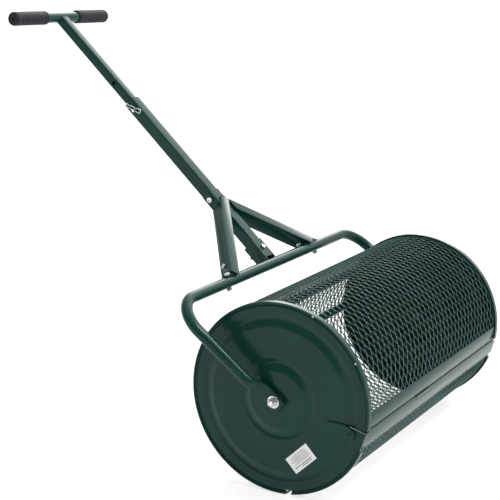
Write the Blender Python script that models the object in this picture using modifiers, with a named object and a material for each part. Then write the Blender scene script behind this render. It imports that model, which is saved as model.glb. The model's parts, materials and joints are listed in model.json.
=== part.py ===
"""Push-along mesh drum roller: a closed cage drum with a hinged loading door, carried in a tube yoke
with a telescoping T-handle. Metres, +Z up, axle along X, handle towards +Y."""

import math

import bmesh
import bpy
from mathutils import Euler, Matrix, Vector

# Driving dimensions, metres and degrees. Angles round the drum run from +Y towards +Z.
GAP = 0.0003  # between pieces that touch on the real roller
DRUM_RADIUS = 0.180
DRUM_LENGTH = 0.634
DISC_SHEET = 0.0015
DISC_STEPS = 40
MESH_RADIUS = 0.177
MESH_SHEET = 0.0008
CAGE_END = 0.3049  # half length of the cage's mesh and bars
BAND_START = 0.3052
BAND_END = 0.3107
BAR_OUTER = 0.1775
BAR_THICKNESS = 0.0025

FRONT_BAR_ANGLE, FRONT_BAR_WIDTH = 184.1, 0.0285
LATCH_BAR_ANGLE, LATCH_BAR_WIDTH = 195.1, 0.0350
DOOR_HINGE_BAR_ANGLE = 258.4
FIXED_HINGE_BAR_ANGLE = 268.2
BACK_BAR_ANGLE = 359.5
SMALL_BAR_WIDTH = 0.0200
STRAP_ANGLE, STRAP_WIDTH, STRAP_OUTER = 28.1, 0.0350, 0.1750  # under the mesh
HINGE_ANGLE, HINGE_RADIUS = 263.3, 0.1755
KNUCKLE_RADIUS = 0.0040
HINGE_ROD_RADIUS = 0.0020
BAR_GAP_ANGLE = 0.25  # mesh stops this far from a bar

EAR_INNER, EAR_THICKNESS = 0.0050, 0.0025  # outside the rim plane
EAR_WIDTH, EAR_DEPTH = 0.0270, 0.0320
LATCH_INNER, LATCH_THICKNESS = 0.0080, 0.0025
LATCH_PIVOT_RADIUS = 0.1515
LATCH_LENGTH = 0.0500
LATCH_PIN_RADIUS = 0.0025

FRAME_TILT = 40.5
HANDLE_TILT = 43.0
HANDLE_DROP = 0.0182  # the handle's axis passes this far under the axle
YOKE_REACH = 0.2479
YOKE_RADIUS = 0.0110
YOKE_WALL = 0.0016
YOKE_SIDES = 12
YOKE_HALF_WIDTH = 0.3675
YOKE_BEND = 0.0620
LEG_LOW_X, LEG_LOW_REACH = 0.3562, 0.0600
PLATE_THICKNESS, PLATE_WIDTH, PLATE_END = 0.0050, 0.0270, -0.0170
PLATE_INNER = 0.0163  # outside the rim plane

OUTER_TUBE, INNER_TUBE, TUBE_WALL = 0.0260, 0.0200, 0.0015
OUTER_START, OUTER_END = 0.2640, 0.7085
INNER_START = 0.5200
T_BAR_AT = 0.9563
PIN_AT, HOLE_PITCH = 0.6847, 0.0771
PIN_RADIUS = 0.0035
HANDLE_TWIST = 2.7  # the inner tube's play in the outer one
T_BAR_RADIUS, T_BAR_WALL, T_BAR_HALF = 0.0110, 0.0015, 0.1600
GRIP_RADIUS, GRIP_START, GRIP_END = 0.0150, 0.0552, 0.1642
APEX_BOLT_AT, BRACKET_BOLT_AT = 0.4320, 0.2870
BRACKET_END, BRACKET_WALL = 0.3070, 0.0025

BRACE_WIDTH, BRACE_DEPTH, BRACE_WALL, BRACE_TOP = 0.0210, 0.0300, 0.0025, 0.0166
BRACE_HEAD, BRACE_FOOT = (0.0160, 0.4120), (0.1700, 0.2620)  # the outer top edge's ends
LUG_X = 0.1800

AXLE_BOLT, SMALL_BOLT = 0.0050, 0.0030  # shank radii
HOLE_PLAY = 0.0003

AXLE_Z = DRUM_RADIUS
TILT_COS, TILT_SIN = math.cos(math.radians(HANDLE_TILT)), math.sin(math.radians(HANDLE_TILT))
T_BAR_Y = T_BAR_AT * TILT_COS + HANDLE_DROP * TILT_SIN
TWIST_Y = GRIP_END * math.sin(math.radians(HANDLE_TWIST)) * TILT_SIN
AXLE_Y = (DRUM_RADIUS - T_BAR_Y - TWIST_Y - GRIP_RADIUS) / 2  # centres the object's box on the origin
RIM_X = DRUM_LENGTH / 2

COLLECTION = "mesh_drum_roller"
SIDES = (("left", -1), ("right", 1))


def clear_scene():
    for item in list(bpy.data.objects):
        bpy.data.objects.remove(item, do_unlink=True)


def new_collection(name):
    collection = bpy.data.collections.new(name)
    bpy.context.scene.collection.children.link(collection)
    return collection


def principled(name, color, roughness, metallic):
    material = bpy.data.materials.new(name)
    material.use_nodes = True
    shader = material.node_tree.nodes["Principled BSDF"]
    shader.inputs["Base Color"].default_value = (*color, 1.0)
    shader.inputs["Roughness"].default_value = roughness
    shader.inputs["Metallic"].default_value = metallic
    return material


def empty(name, parent=None, location=(0, 0, 0), rotation=(0, 0, 0)):
    frame = bpy.data.objects.new(name, None)
    parts.objects.link(frame)
    frame.parent = parent
    frame.location = location
    frame.rotation_euler = rotation
    return frame


def place(name, mesh, material, parent, location=(0, 0, 0), rotation=(0, 0, 0), smooth=False):
    """A part's object, in its parent's frame."""
    piece = bpy.data.objects.new(name, mesh)
    parts.objects.link(piece)
    mesh.materials.append(material)
    piece.parent = parent
    piece.location = location
    piece.rotation_euler = rotation
    if smooth:
        mesh.shade_smooth()
        mesh.set_sharp_from_angle(angle=math.radians(35))
    return piece


def mesh_of(name, build):
    """A mesh filled by build(bm)."""
    mesh = bpy.data.meshes.new(name)
    bm = bmesh.new()
    build(bm)
    bm.normal_update()
    bm.to_mesh(mesh)
    bm.free()
    return mesh


def box_mesh(name, low, high):
    """A box between two corners."""
    low, high = Vector(low), Vector(high)

    def build(bm):
        bmesh.ops.create_cube(bm, size=1.0)
        bmesh.ops.scale(bm, vec=high - low, verts=bm.verts)
        bmesh.ops.translate(bm, vec=(low + high) / 2, verts=bm.verts)

    return mesh_of(name, build)


def rod_mesh(name, radius, start, end, axis="X", steps=16):
    """A round rod along one of its own axes."""
    turn = {"X": Euler((0, math.pi / 2, 0)), "Y": Euler((-math.pi / 2, 0, 0)), "Z": Euler((0, 0, 0))}[axis]
    middle = {"X": (1, 0, 0), "Y": (0, 1, 0), "Z": (0, 0, 1)}[axis]

    def build(bm):
        size = {"radius1": radius, "radius2": radius, "depth": end - start}
        bmesh.ops.create_cone(bm, cap_ends=True, segments=steps, **size)
        bmesh.ops.rotate(bm, cent=(0, 0, 0), matrix=turn.to_matrix(), verts=bm.verts)
        bmesh.ops.translate(bm, vec=Vector(middle) * (start + end) / 2, verts=bm.verts)

    return mesh_of(name, build)


def cutter(piece, mesh, operation="DIFFERENCE", parent=None, location=(0, 0, 0), rotation=(0, 0, 0)):
    """Cuts mesh from piece, or joins it on. It is placed in the piece's parent frame unless one is given."""
    tool = bpy.data.objects.new(mesh.name, mesh)
    cutters.objects.link(tool)
    tool.parent = parent or piece.parent
    tool.location = location
    tool.rotation_euler = rotation
    tool.hide_render = True
    tool.display_type = "WIRE"
    modifier = piece.modifiers.new(mesh.name, "BOOLEAN")
    modifier.operation = operation
    modifier.object = tool
    modifier.solver = "EXACT"


def drill(piece, radius, start, end, axis, location, rotation=(0, 0, 0), parent=None):
    mesh = rod_mesh(piece.name + "_hole", radius, start, end, axis)
    cutter(piece, mesh, parent=parent, location=location, rotation=rotation)


def turned(name, profile, material, parent, rotation, steps, location=(0, 0, 0)):
    """A closed (radius, height) outline, clockwise with radius to the right, turned about its own Z."""

    def build(bm):
        ring = [bm.verts.new((radius, 0, height)) for radius, height in profile]
        for start, end in zip(ring, ring[1:] + ring[:1]):
            bm.edges.new((start, end))

    piece = place(name, mesh_of(name, build), material, parent, location, rotation)
    screw = piece.modifiers.new("turn", "SCREW")
    screw.axis = "Z"
    screw.steps = steps
    screw.render_steps = steps
    screw.use_merge_vertices = True
    screw.merge_threshold = 0.00001
    screw.use_smooth_shade = False
    return piece


def ring_profile(inner, outer, low, high):
    return [(inner, high), (outer, high), (outer, low), (inner, low)]


def outward(side):
    """The rotation that turns a piece's own Z to point out of the drum on that side."""
    return (0, side * math.pi / 2, 0)


def lofted(name, rings, material, parent, closed, location=(0, 0, 0), rotation=(0, 0, 0), smooth=False):
    """Faces between successive rings of points; a closed loft joins its last ring to its first."""

    def build(bm):
        made = [[bm.verts.new(point) for point in ring] for ring in rings]
        pairs = list(zip(made, made[1:] + made[:1])) if closed else list(zip(made, made[1:]))
        for first, second in pairs:
            for i in range(len(first)):
                j = (i + 1) % len(first)
                bm.faces.new((first[i], first[j], second[j], second[i]))
        if not closed:
            bm.faces.new(list(reversed(made[0])))
            bm.faces.new(made[-1])
        bmesh.ops.recalc_face_normals(bm, faces=bm.faces)

    return place(name, mesh_of(name, build), material, parent, location, rotation, smooth)


def twelve_ring(radii, height):
    """A point at each of twelve radii, at a height."""
    turns = [i * math.pi / 6 for i in range(12)]
    return [(radius * math.cos(turn), radius * math.sin(turn), height) for radius, turn in zip(radii, turns)]


def round_ring(radius, height):
    return twelve_ring([radius] * 12, height)


def hex_ring(across_corners, height):
    """A hexagon with a point at each corner and at the middle of each side."""
    flat = across_corners * math.cos(math.pi / 6)
    return twelve_ring([across_corners, flat] * 6, height)


def bolt(name, shank, length, parent, location, rotation):
    """A hexagon bolt with its head's seat at the origin, its shank down -Z."""
    head, height = shank * 1.85, shank * 1.3
    rings = [round_ring(shank * 0.8, -length), round_ring(shank, -length + shank * 0.3), round_ring(shank, 0)]
    rings += [hex_ring(head, 0), hex_ring(head, height * 0.85), hex_ring(head * 0.9, height)]
    return lofted(name, rings, zinc, parent, False, location, rotation)


def nut(name, shank, parent, location, rotation):
    """A hexagon nut with its seat at the origin, its body down -Z."""
    outer, inner, height = shank * 1.85, shank + HOLE_PLAY, shank * 1.6
    rings = [hex_ring(outer, 0), hex_ring(outer, -height * 0.88), hex_ring(outer * 0.9, -height)]
    rings += [round_ring(inner, -height), round_ring(inner, 0)]
    return lofted(name, rings, zinc, parent, True, location, rotation)


def polar(radius, angle):
    """A point round the drum, in the drum's own Y and Z."""
    return radius * math.cos(math.radians(angle)), radius * math.sin(math.radians(angle))


def arc_sheet(name, start, end, low_x, high_x, material, parent, location=(0, 0, 0)):
    """A strip of sheet bent round the drum between two angles."""
    steps = max(2, round((end - start) / 6.5))

    def build(bm):
        y, z = polar(MESH_RADIUS, start)
        edge = bm.edges.new((bm.verts.new((low_x, y, z)), bm.verts.new((high_x, y, z))))
        line = [edge, *edge.verts]
        turn = math.radians(end - start)
        bmesh.ops.spin(bm, geom=line, cent=(0, 0, 0), axis=(1, 0, 0), angle=turn, steps=steps)
        bmesh.ops.recalc_face_normals(bm, faces=bm.faces)
        bm.normal_update()
        face = bm.faces[:][0]
        if face.normal.dot(face.calc_center_median() * Vector((0, 1, 1))) < 0:
            bmesh.ops.reverse_faces(bm, faces=bm.faces)

    piece = place(name, mesh_of(name, build), material, parent, location)
    solidify = piece.modifiers.new("sheet", "SOLIDIFY")
    solidify.thickness = MESH_SHEET
    solidify.offset = -1
    return piece


def flat_bar_mesh(name, angle, width, low_x, high_x, outer=BAR_OUTER, thickness=BAR_THICKNESS):
    """A flat bar along X, square to the radius at angle."""
    mesh = box_mesh(name, (low_x, outer - thickness, -width / 2), (high_x, outer, width / 2))
    mesh.transform(Matrix.Rotation(math.radians(angle), 4, "X"))
    return mesh


def shift_mesh(mesh, offset):
    mesh.transform(Matrix.Translation(offset))
    return mesh


def half_width_angle(width):
    return math.degrees(math.asin(width / 2 / BAR_OUTER))


# Frame: yoke, braces, bracket and the handle's outer tube.


def yoke_path():
    """(x, reach) points of the yoke's right half, with the share of flattening at each."""
    plate_x = RIM_X + PLATE_INNER + PLATE_THICKNESS / 2
    points = [(0.0, YOKE_REACH, 0.0), (0.12, YOKE_REACH, 0.0), (0.24, YOKE_REACH, 0.0)]
    centre = (YOKE_HALF_WIDTH - YOKE_BEND, YOKE_REACH - YOKE_BEND)
    for i in range(7):
        angle = math.pi / 2 * (1 - i / 6)
        points.append((centre[0] + YOKE_BEND * math.cos(angle), centre[1] + YOKE_BEND * math.sin(angle), 0.0))
    points.append((LEG_LOW_X + 0.0025, LEG_LOW_REACH + 0.024, 0.0))
    points.append((LEG_LOW_X, LEG_LOW_REACH, 0.05))
    for share in (0.25, 0.5, 0.75):
        bend = (1 - math.cos(share * math.pi)) / 2
        points.append((LEG_LOW_X + (plate_x - LEG_LOW_X) * bend, LEG_LOW_REACH - 0.034 * share, share))
    points.append((plate_x, LEG_LOW_REACH - 0.036, 1.0))
    points.append((plate_x, 0.0, 1.0))
    points.append((plate_x, PLATE_END, 1.0))
    return points


def yoke_section(flatness, wall):
    """(across, along normal) points of the tube's section, from round to pressed flat."""
    thin = YOKE_RADIUS + (PLATE_THICKNESS / 2 - YOKE_RADIUS) * flatness - wall
    wide = YOKE_RADIUS + (PLATE_WIDTH / 2 - YOKE_RADIUS) * flatness - wall
    power = 1 - 0.72 * flatness
    points = []
    for i in range(YOKE_SIDES):
        angle = 2 * math.pi * (i + 0.5) / YOKE_SIDES
        across = thin * math.copysign(abs(math.cos(angle)) ** power, math.cos(angle))
        along = wide * math.copysign(abs(math.sin(angle)) ** power, math.sin(angle))
        points.append((across, along))
    return points


def yoke_rings(wall):
    half = yoke_path()
    path = [(-x, reach, flat) for x, reach, flat in reversed(half[1:])] + half
    rings = []
    for i, (x, reach, flat) in enumerate(path):
        before, after = path[max(i - 1, 0)], path[min(i + 1, len(path) - 1)]
        along = Vector((after[0] - before[0], after[1] - before[1], 0)).normalized()
        across = Vector((along.y, -along.x, 0))
        section = yoke_section(flat, wall)
        rings.append([Vector((x, reach, 0)) + across * a + Vector((0, 0, n)) for a, n in section])
    return rings


def build_yoke():
    outer, inner = yoke_rings(0.0), yoke_rings(YOKE_WALL)
    piece = lofted("yoke_tube", outer + list(reversed(inner)), green, yoke_frame, True, smooth=True)
    for name, side in SIDES:
        drill(piece, AXLE_BOLT + HOLE_PLAY, side * 0.30 - 0.06, side * 0.36 + 0.06, "X", (0, 0, 0))
        lug_turn = (math.radians(-45), 0, 0)
        drill(piece, SMALL_BOLT + HOLE_PLAY, -0.02, 0.02, "Z", (side * LUG_X, YOKE_REACH, 0), lug_turn)


def channel_mesh(name, width, depth, length):
    """An open channel along +Y: its back at the top, its walls down -Z."""
    outline = [(-width / 2, -depth), (-width / 2, 0), (width / 2, 0), (width / 2, -depth)]

    def build(bm):
        near = [bm.verts.new((x, 0, z)) for x, z in outline]
        far = [bm.verts.new((x, length, z)) for x, z in outline]
        for i in range(3):
            bm.faces.new((near[i], near[i + 1], far[i + 1], far[i]))

    return mesh_of(name, build)


def thicken(piece, wall):
    solidify = piece.modifiers.new("wall", "SOLIDIFY")
    solidify.thickness = wall
    solidify.offset = -1
    solidify.use_even_offset = True


def build_brace(name, side):
    head = Vector((side * BRACE_HEAD[0], BRACE_HEAD[1]))
    foot = Vector((side * BRACE_FOOT[0], BRACE_FOOT[1]))
    along = (foot - head).normalized()
    inward = Vector((-side * along.y, side * along.x)) * (-1)
    if inward.y > 0:
        inward = -inward
    length = (foot - head).length + 0.045
    start = head - along * 0.045 + inward * BRACE_WIDTH / 2
    turn = math.atan2(-along.x, along.y)
    mesh = channel_mesh(name + "_brace", BRACE_WIDTH, BRACE_DEPTH, length)
    location = (start.x, start.y, BRACE_TOP)
    piece = place(name + "_brace", mesh, green, yoke_frame, location, (0, 0, turn))
    thicken(piece, BRACE_WALL)
    side_face = OUTER_TUBE / 2 + GAP
    ear = sorted((side * (side_face + 0.0001), side * (side_face + BRACE_WALL)))
    ear_mesh = box_mesh(name + "_ear", (ear[0], 0.4000, -0.0115), (ear[1], 0.4460, 0.0125))
    low, high = (0.0125, 0.2) if side < 0 else (-0.2, side_face)  # only the left brace laps over the handle
    cutter(piece, box_mesh(name + "_trim", (low, 0.36, -0.04), (high, 0.52, 0.04)))
    top_end = box_mesh(name + "_top_end", (-0.05, 0.4250, -0.05), (0.05, 0.52, 0.05))
    cutter(piece, top_end)
    cutter(piece, ear_mesh, "UNION", parent=handle_frame)
    tube_room = box_mesh(name + "_tube_room", (-side_face, 0.20, -0.05), (side_face, 0.50, side_face))
    cutter(piece, tube_room, parent=handle_frame)
    yoke_room = box_mesh(name + "_yoke_room", (-0.3, 0.18, -0.05), (0.3, YOKE_REACH + 0.0140, 0.0138))
    cutter(piece, yoke_room)
    drill(piece, SMALL_BOLT + 0.0005 + HOLE_PLAY, -0.05, 0.05, "X", (0, APEX_BOLT_AT, 0), parent=handle_frame)
    middle = foot - along * 0.0272 + inward * BRACE_WIDTH / 2
    drill(piece, SMALL_BOLT + HOLE_PLAY, -0.03, 0.03, "X", (middle.x, middle.y, 0.0), (0, 0, turn))
    build_lug(name, side, middle, along, turn)


def build_lug(name, side, middle, along, turn):
    """The bent tab that carries a brace's foot on the yoke tube."""
    ear_length = 0.025
    mesh = box_mesh(name + "_lug", (-0.00125, -0.009, -0.008), (0.00125, ear_length, 0.0125))
    piece = place(name + "_lug", mesh, green, yoke_frame, (middle.x, middle.y, 0.0), (0, 0, turn))
    low_z = YOKE_RADIUS + GAP
    foot_low = (min(0, -side * 0.026) - 0.0085, -0.0050, low_z)
    foot_high = (max(0, -side * 0.026) + 0.0085, 0.0050, low_z + 0.0025)
    foot = box_mesh(name + "_lug_foot", foot_low, foot_high)
    foot_turn = (math.radians(-45), 0, 0)
    cutter(piece, foot, "UNION", location=(side * LUG_X, YOKE_REACH, 0), rotation=foot_turn)
    tube_room = rod_mesh(name + "_lug_room", YOKE_RADIUS + GAP * 0.9, -0.3, 0.3, "X", 24)
    cutter(piece, tube_room, location=(0, YOKE_REACH, 0))
    drill(piece, SMALL_BOLT + HOLE_PLAY, 0.0, 0.03, "Z", (side * LUG_X, YOKE_REACH, 0), foot_turn)
    drill(piece, SMALL_BOLT + HOLE_PLAY, -0.03, 0.03, "X", (middle.x, middle.y, 0.0), (0, 0, turn))
    seat = YOKE_RADIUS + 2 * GAP + 0.0025
    e_up = Vector((0, math.sin(math.radians(45)), math.cos(math.radians(45))))
    head_at = Vector((side * LUG_X, YOKE_REACH, 0)) + e_up * seat
    bolt(name + "_lug_bolt", SMALL_BOLT, 0.0340, yoke_frame, head_at, foot_turn)
    nut_at = Vector((side * LUG_X, YOKE_REACH, 0)) - e_up * (YOKE_RADIUS + GAP)
    nut(name + "_lug_nut", SMALL_BOLT, yoke_frame, nut_at, foot_turn)
    cross = Vector((math.cos(turn), math.sin(turn), 0)) * (side if math.cos(turn) > 0 else -side)
    reach = BRACE_WIDTH / 2 + GAP
    centre = Vector((middle.x, middle.y, 0.0))
    out_turn = (0, side * math.pi / 2 if math.cos(turn) > 0 else -side * math.pi / 2, 0)
    matrix = Euler((0, 0, turn)).to_matrix() @ Euler(out_turn).to_matrix()
    spin = matrix.to_euler()
    bolt(name + "_brace_bolt", SMALL_BOLT, 0.0270, yoke_frame, centre + cross * reach, spin)
    nut(name + "_brace_nut", SMALL_BOLT, yoke_frame, centre - cross * reach, spin)


def square_ring(size, corner, along):
    """A rounded square of points, clockwise seen from -Y, at a distance along Y."""
    points = []
    half = size / 2 - corner
    for quarter, (x, z) in enumerate(((half, half), (half, -half), (-half, -half), (-half, half))):
        for i in range(3):
            angle = math.pi / 2 * (1 - quarter - i / 2)
            points.append((x + corner * math.cos(angle), along, z + corner * math.sin(angle)))
    return points


def square_tube(name, size, wall, start, end, material, parent):
    outer = [square_ring(size, 0.0025, start), square_ring(size, 0.0025, end)]
    inner = [square_ring(size - 2 * wall, 0.0010, end), square_ring(size - 2 * wall, 0.0010, start)]
    return lofted(name, outer + inner, material, parent, True)


def build_lower_handle():
    ends = (OUTER_START, OUTER_END)
    piece = square_tube("lower_handle_tube", OUTER_TUBE, TUBE_WALL, *ends, green, handle_frame)
    drill(piece, SMALL_BOLT + 0.0005 + HOLE_PLAY, -0.03, 0.03, "X", (0, APEX_BOLT_AT, 0))
    drill(piece, SMALL_BOLT + HOLE_PLAY, -0.03, 0.03, "Z", (0, BRACKET_BOLT_AT, 0))
    drill(piece, PIN_RADIUS + HOLE_PLAY, -0.03, 0.03, "X", (0, PIN_AT, 0))
    reach = OUTER_TUBE / 2 + BRACE_WALL + 2 * GAP
    turn = (0, -math.pi / 2, 0)
    bolt("apex_bolt", SMALL_BOLT + 0.0005, 0.0440, handle_frame, (-reach, APEX_BOLT_AT, 0), turn)
    nut("apex_nut", SMALL_BOLT + 0.0005, handle_frame, (reach, APEX_BOLT_AT, 0), turn)


def build_bracket():
    """The U welded to the yoke tube that holds the handle's foot."""
    inner = OUTER_TUBE / 2 + GAP
    start = YOKE_REACH - 0.0060
    width, depth = 2 * (inner + BRACKET_WALL), OUTER_TUBE + GAP + BRACKET_WALL
    mesh = channel_mesh("centre_bracket", width, depth, BRACKET_END - start)
    mesh.transform(Matrix.Rotation(math.pi, 4, "Y"))
    piece = place("centre_bracket", mesh, green, handle_frame, (0, start, -(inner + BRACKET_WALL)))
    thicken(piece, BRACKET_WALL)
    tube_room = rod_mesh("bracket_tube_room", YOKE_RADIUS + GAP, -0.05, 0.05, "X", 24)
    cutter(piece, tube_room, parent=yoke_frame, location=(0, YOKE_REACH, 0))
    lower_room = box_mesh("bracket_lower_room", (-0.05, YOKE_REACH - 0.03, -0.05), (0.05, YOKE_REACH, 0.05))
    cutter(piece, lower_room, parent=yoke_frame)
    drill(piece, SMALL_BOLT + HOLE_PLAY, -0.03, 0.03, "Z", (0, BRACKET_BOLT_AT, 0))
    top = OUTER_TUBE / 2 + GAP
    bolt("bracket_bolt", SMALL_BOLT, 0.0400, handle_frame, (0, BRACKET_BOLT_AT, top), (0, 0, 0))
    low = -(inner + BRACKET_WALL + GAP)
    nut("bracket_nut", SMALL_BOLT, handle_frame, (0, BRACKET_BOLT_AT, low), (0, 0, 0))


# Telescoping handle and its locking pin.

def build_upper_handle():
    piece = square_tube("upper_handle_tube", INNER_TUBE, TUBE_WALL, INNER_START, T_BAR_AT, green, twist_frame)
    bar_room = rod_mesh("t_bar_room", T_BAR_RADIUS + GAP, -0.05, 0.05, "X", 32)
    cutter(piece, bar_room, location=(0, T_BAR_AT, 0))
    slot_low, slot_high = PIN_AT - HOLE_PITCH - 0.0045, PIN_AT + HOLE_PITCH + 0.0045
    cutter(piece, box_mesh("pin_slot", (-0.03, slot_low, -0.0045), (0.03, slot_high, 0.0045)))
    ring = ring_profile(T_BAR_RADIUS - T_BAR_WALL, T_BAR_RADIUS, -T_BAR_HALF, T_BAR_HALF)
    turned("t_bar", ring, green, twist_frame, (0, math.pi / 2, 0), 24, (0, T_BAR_AT, 0))
    for name, side in SIDES:
        bore, end = T_BAR_RADIUS + GAP, GRIP_END
        outline = [
            (0.0025, end),
            (GRIP_RADIUS - 0.0040, end),
            (GRIP_RADIUS - 0.0012, end - 0.0014),
            (GRIP_RADIUS, end - 0.0040),
            (GRIP_RADIUS, GRIP_START + 0.0090),
            (GRIP_RADIUS - 0.0020, GRIP_START),
            (bore, GRIP_START),
            (bore, T_BAR_HALF + GAP),
            (0.0025, T_BAR_HALF + GAP),
        ]
        turned(name + "_grip", outline, rubber, twist_frame, outward(side), 16, (0, T_BAR_AT, 0))


def build_pin():
    mesh = rod_mesh("locking_pin", PIN_RADIUS, -0.0215, 0.0165, "X", 12)
    pin = place("locking_pin", mesh, zinc, handle_frame, (0, PIN_AT, 0), smooth=True)
    drill(pin, 0.0013, -0.01, 0.01, "Y", (-0.0185, PIN_AT, 0))
    points = [(0.0165, 0.0), (-0.0120, 0.0)]
    for i in range(1, 9):
        angle = -math.pi / 2 - i * math.pi / 8
        points.append((-0.0120 + 0.0042 * math.cos(angle), 0.0042 + 0.0042 * math.sin(angle)))
    points += [(-0.0060, 0.0080), (-0.0035, 0.0058), (0.0, 0.0054)]
    points += [(0.0035, 0.0058), (0.0080, 0.0085), (0.0150, 0.0050)]
    spline_data = bpy.data.curves.new("hairpin_clip", "CURVE")
    spline_data.dimensions = "3D"
    spline_data.bevel_depth = 0.0010
    spline_data.bevel_resolution = 2
    spline_data.use_fill_caps = True
    spline = spline_data.splines.new("POLY")
    spline.points.add(len(points) - 1)
    for target, (along, off) in zip(spline.points, points):
        target.co = (0, along, off, 1)
    clip = bpy.data.objects.new("hairpin_clip", spline_data)
    parts.objects.link(clip)
    spline_data.materials.append(zinc)
    clip.parent = handle_frame
    clip.location = (-0.0185, PIN_AT, 0)


# Drum: stamped discs, cage and axle.


def disc_outline():
    face = [
        (0.0085, 0.0100),
        (0.0560, 0.0100),
        (0.0625, 0.0068),
        (0.0680, 0.0055),
        (0.0735, 0.0068),
        (0.1390, 0.0068),
        (0.1445, 0.0042),
        (0.1500, 0.0030),
        (0.1555, 0.0042),
        (0.1710, 0.0036),
        (0.1775, 0.0030),
    ]
    rim = [
        (DRUM_RADIUS, 0.0005),
        (DRUM_RADIUS, -0.0060),
        (DRUM_RADIUS - DISC_SHEET, -0.0060),
        (DRUM_RADIUS - DISC_SHEET, -0.0003),
    ]
    back = [(radius, height - DISC_SHEET) for radius, height in reversed(face[:-1])]
    return face + rim + [(face[-1][0] - 0.0007, face[-1][1] - DISC_SHEET)] + back


def build_disc(name, side):
    at = (side * RIM_X, 0, 0)
    piece = turned(name + "_disc", disc_outline(), green, drum_frame, outward(side), DISC_STEPS, at)
    notch = box_mesh(name + "_latch_notch", (-0.02, 0.1745, -0.0215), (0.02, 0.20, 0.0215))
    turn = (math.radians(LATCH_BAR_ANGLE + 0.8), 0, 0)
    cutter(piece, notch, location=at, rotation=turn)
    hinge_notch = box_mesh(name + "_hinge_notch", (-0.02, 0.1700, -0.0060), (0.02, 0.20, 0.0060))
    cutter(piece, hinge_notch, location=at, rotation=(math.radians(HINGE_ANGLE - 0.6), 0, 0))
    out = outward(side)
    bush = [
        (0.0055, 0.0125),
        (0.0140, 0.0125),
        (0.0140, 0.0103),
        (0.0082, 0.0103),
        (0.0082, -0.0060),
        (0.0055, -0.0060),
    ]
    turned(name + "_bush", bush, nylon, drum_frame, out, 16, at)


def build_axle(name, side):
    """The stub bolt that carries one end of the drum, with its spacer, washer and nut."""
    out, at = outward(side), (side * RIM_X, 0, 0)
    turned(name + "_axle_spacer", ring_profile(0.0055, 0.0100, 0.0128, 0.0160), zinc, axle_frame, out, 16, at)
    turned(name + "_axle_washer", ring_profile(0.0055, 0.0118, 0.0216, 0.0232), zinc, axle_frame, out, 20, at)
    back = (0, -side * math.pi / 2, 0)
    inner = RIM_X - 0.0063
    bolt(name + "_axle_bolt", AXLE_BOLT, 0.0415, axle_frame, (side * inner, 0, 0), back)
    outer = RIM_X + 0.0235
    nut(name + "_axle_nut", AXLE_BOLT, axle_frame, (side * outer, 0, 0), back)


def build_label():
    low = -RIM_X - 0.0068 - GAP
    mesh = box_mesh("blank_label", (low - 0.0002, -0.0280, -0.0165), (low, 0.0280, 0.0165))
    y, z = polar(0.1142, -115.3)
    place("blank_label", mesh, label_white, drum_frame, (0, y, z), (math.radians(-43.4), 0, 0))


def knuckle_mesh(name, bar_angle, start, end):
    """A hinge knuckle with the strap that joins it to its bar, as one convex prism."""
    edge_sign = 1 if bar_angle < HINGE_ANGLE else -1
    bar_turn = Matrix.Rotation(math.radians(bar_angle), 4, "X")
    edge = edge_sign * (SMALL_BAR_WIDTH / 2 - 0.0015)
    heights = (BAR_OUTER - BAR_THICKNESS + 0.0002, BAR_OUTER - 0.0002)
    strap = [bar_turn @ Vector((0, radius, edge)) for radius in heights]
    centre = Vector((0, *polar(HINGE_RADIUS, HINGE_ANGLE)))
    circle = [centre + Vector((0, *polar(KNUCKLE_RADIUS, 30 * i))) for i in range(12)]

    def build(bm):
        for x in (start, end):
            for point in circle + strap:
                bm.verts.new((x, point.y, point.z))
        made = bmesh.ops.convex_hull(bm, input=bm.verts)
        unused = [v for v in made["geom_interior"] + made["geom_unused"] if isinstance(v, bmesh.types.BMVert)]
        bmesh.ops.delete(bm, geom=list(set(unused)), context="VERTS")
        bmesh.ops.recalc_face_normals(bm, faces=bm.faces)

    return mesh_of(name, build)


def hinge_bar(name, angle, spans, parent, offset):
    """A cage bar with its hinge knuckles, in the drum's frame less offset."""
    mesh = shift_mesh(flat_bar_mesh(name, angle, SMALL_BAR_WIDTH, -CAGE_END, CAGE_END), offset)
    piece = place(name, mesh, green, parent)
    for i, (start, end) in enumerate(spans):
        cutter(piece, shift_mesh(knuckle_mesh(f"{name}_knuckle_{i}", angle, start, end), offset), "UNION")
    y, z = polar(HINGE_RADIUS, HINGE_ANGLE)
    drill(piece, HINGE_ROD_RADIUS + HOLE_PLAY, -0.35, 0.35, "X", (offset[0], y + offset[1], z + offset[2]))


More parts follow.
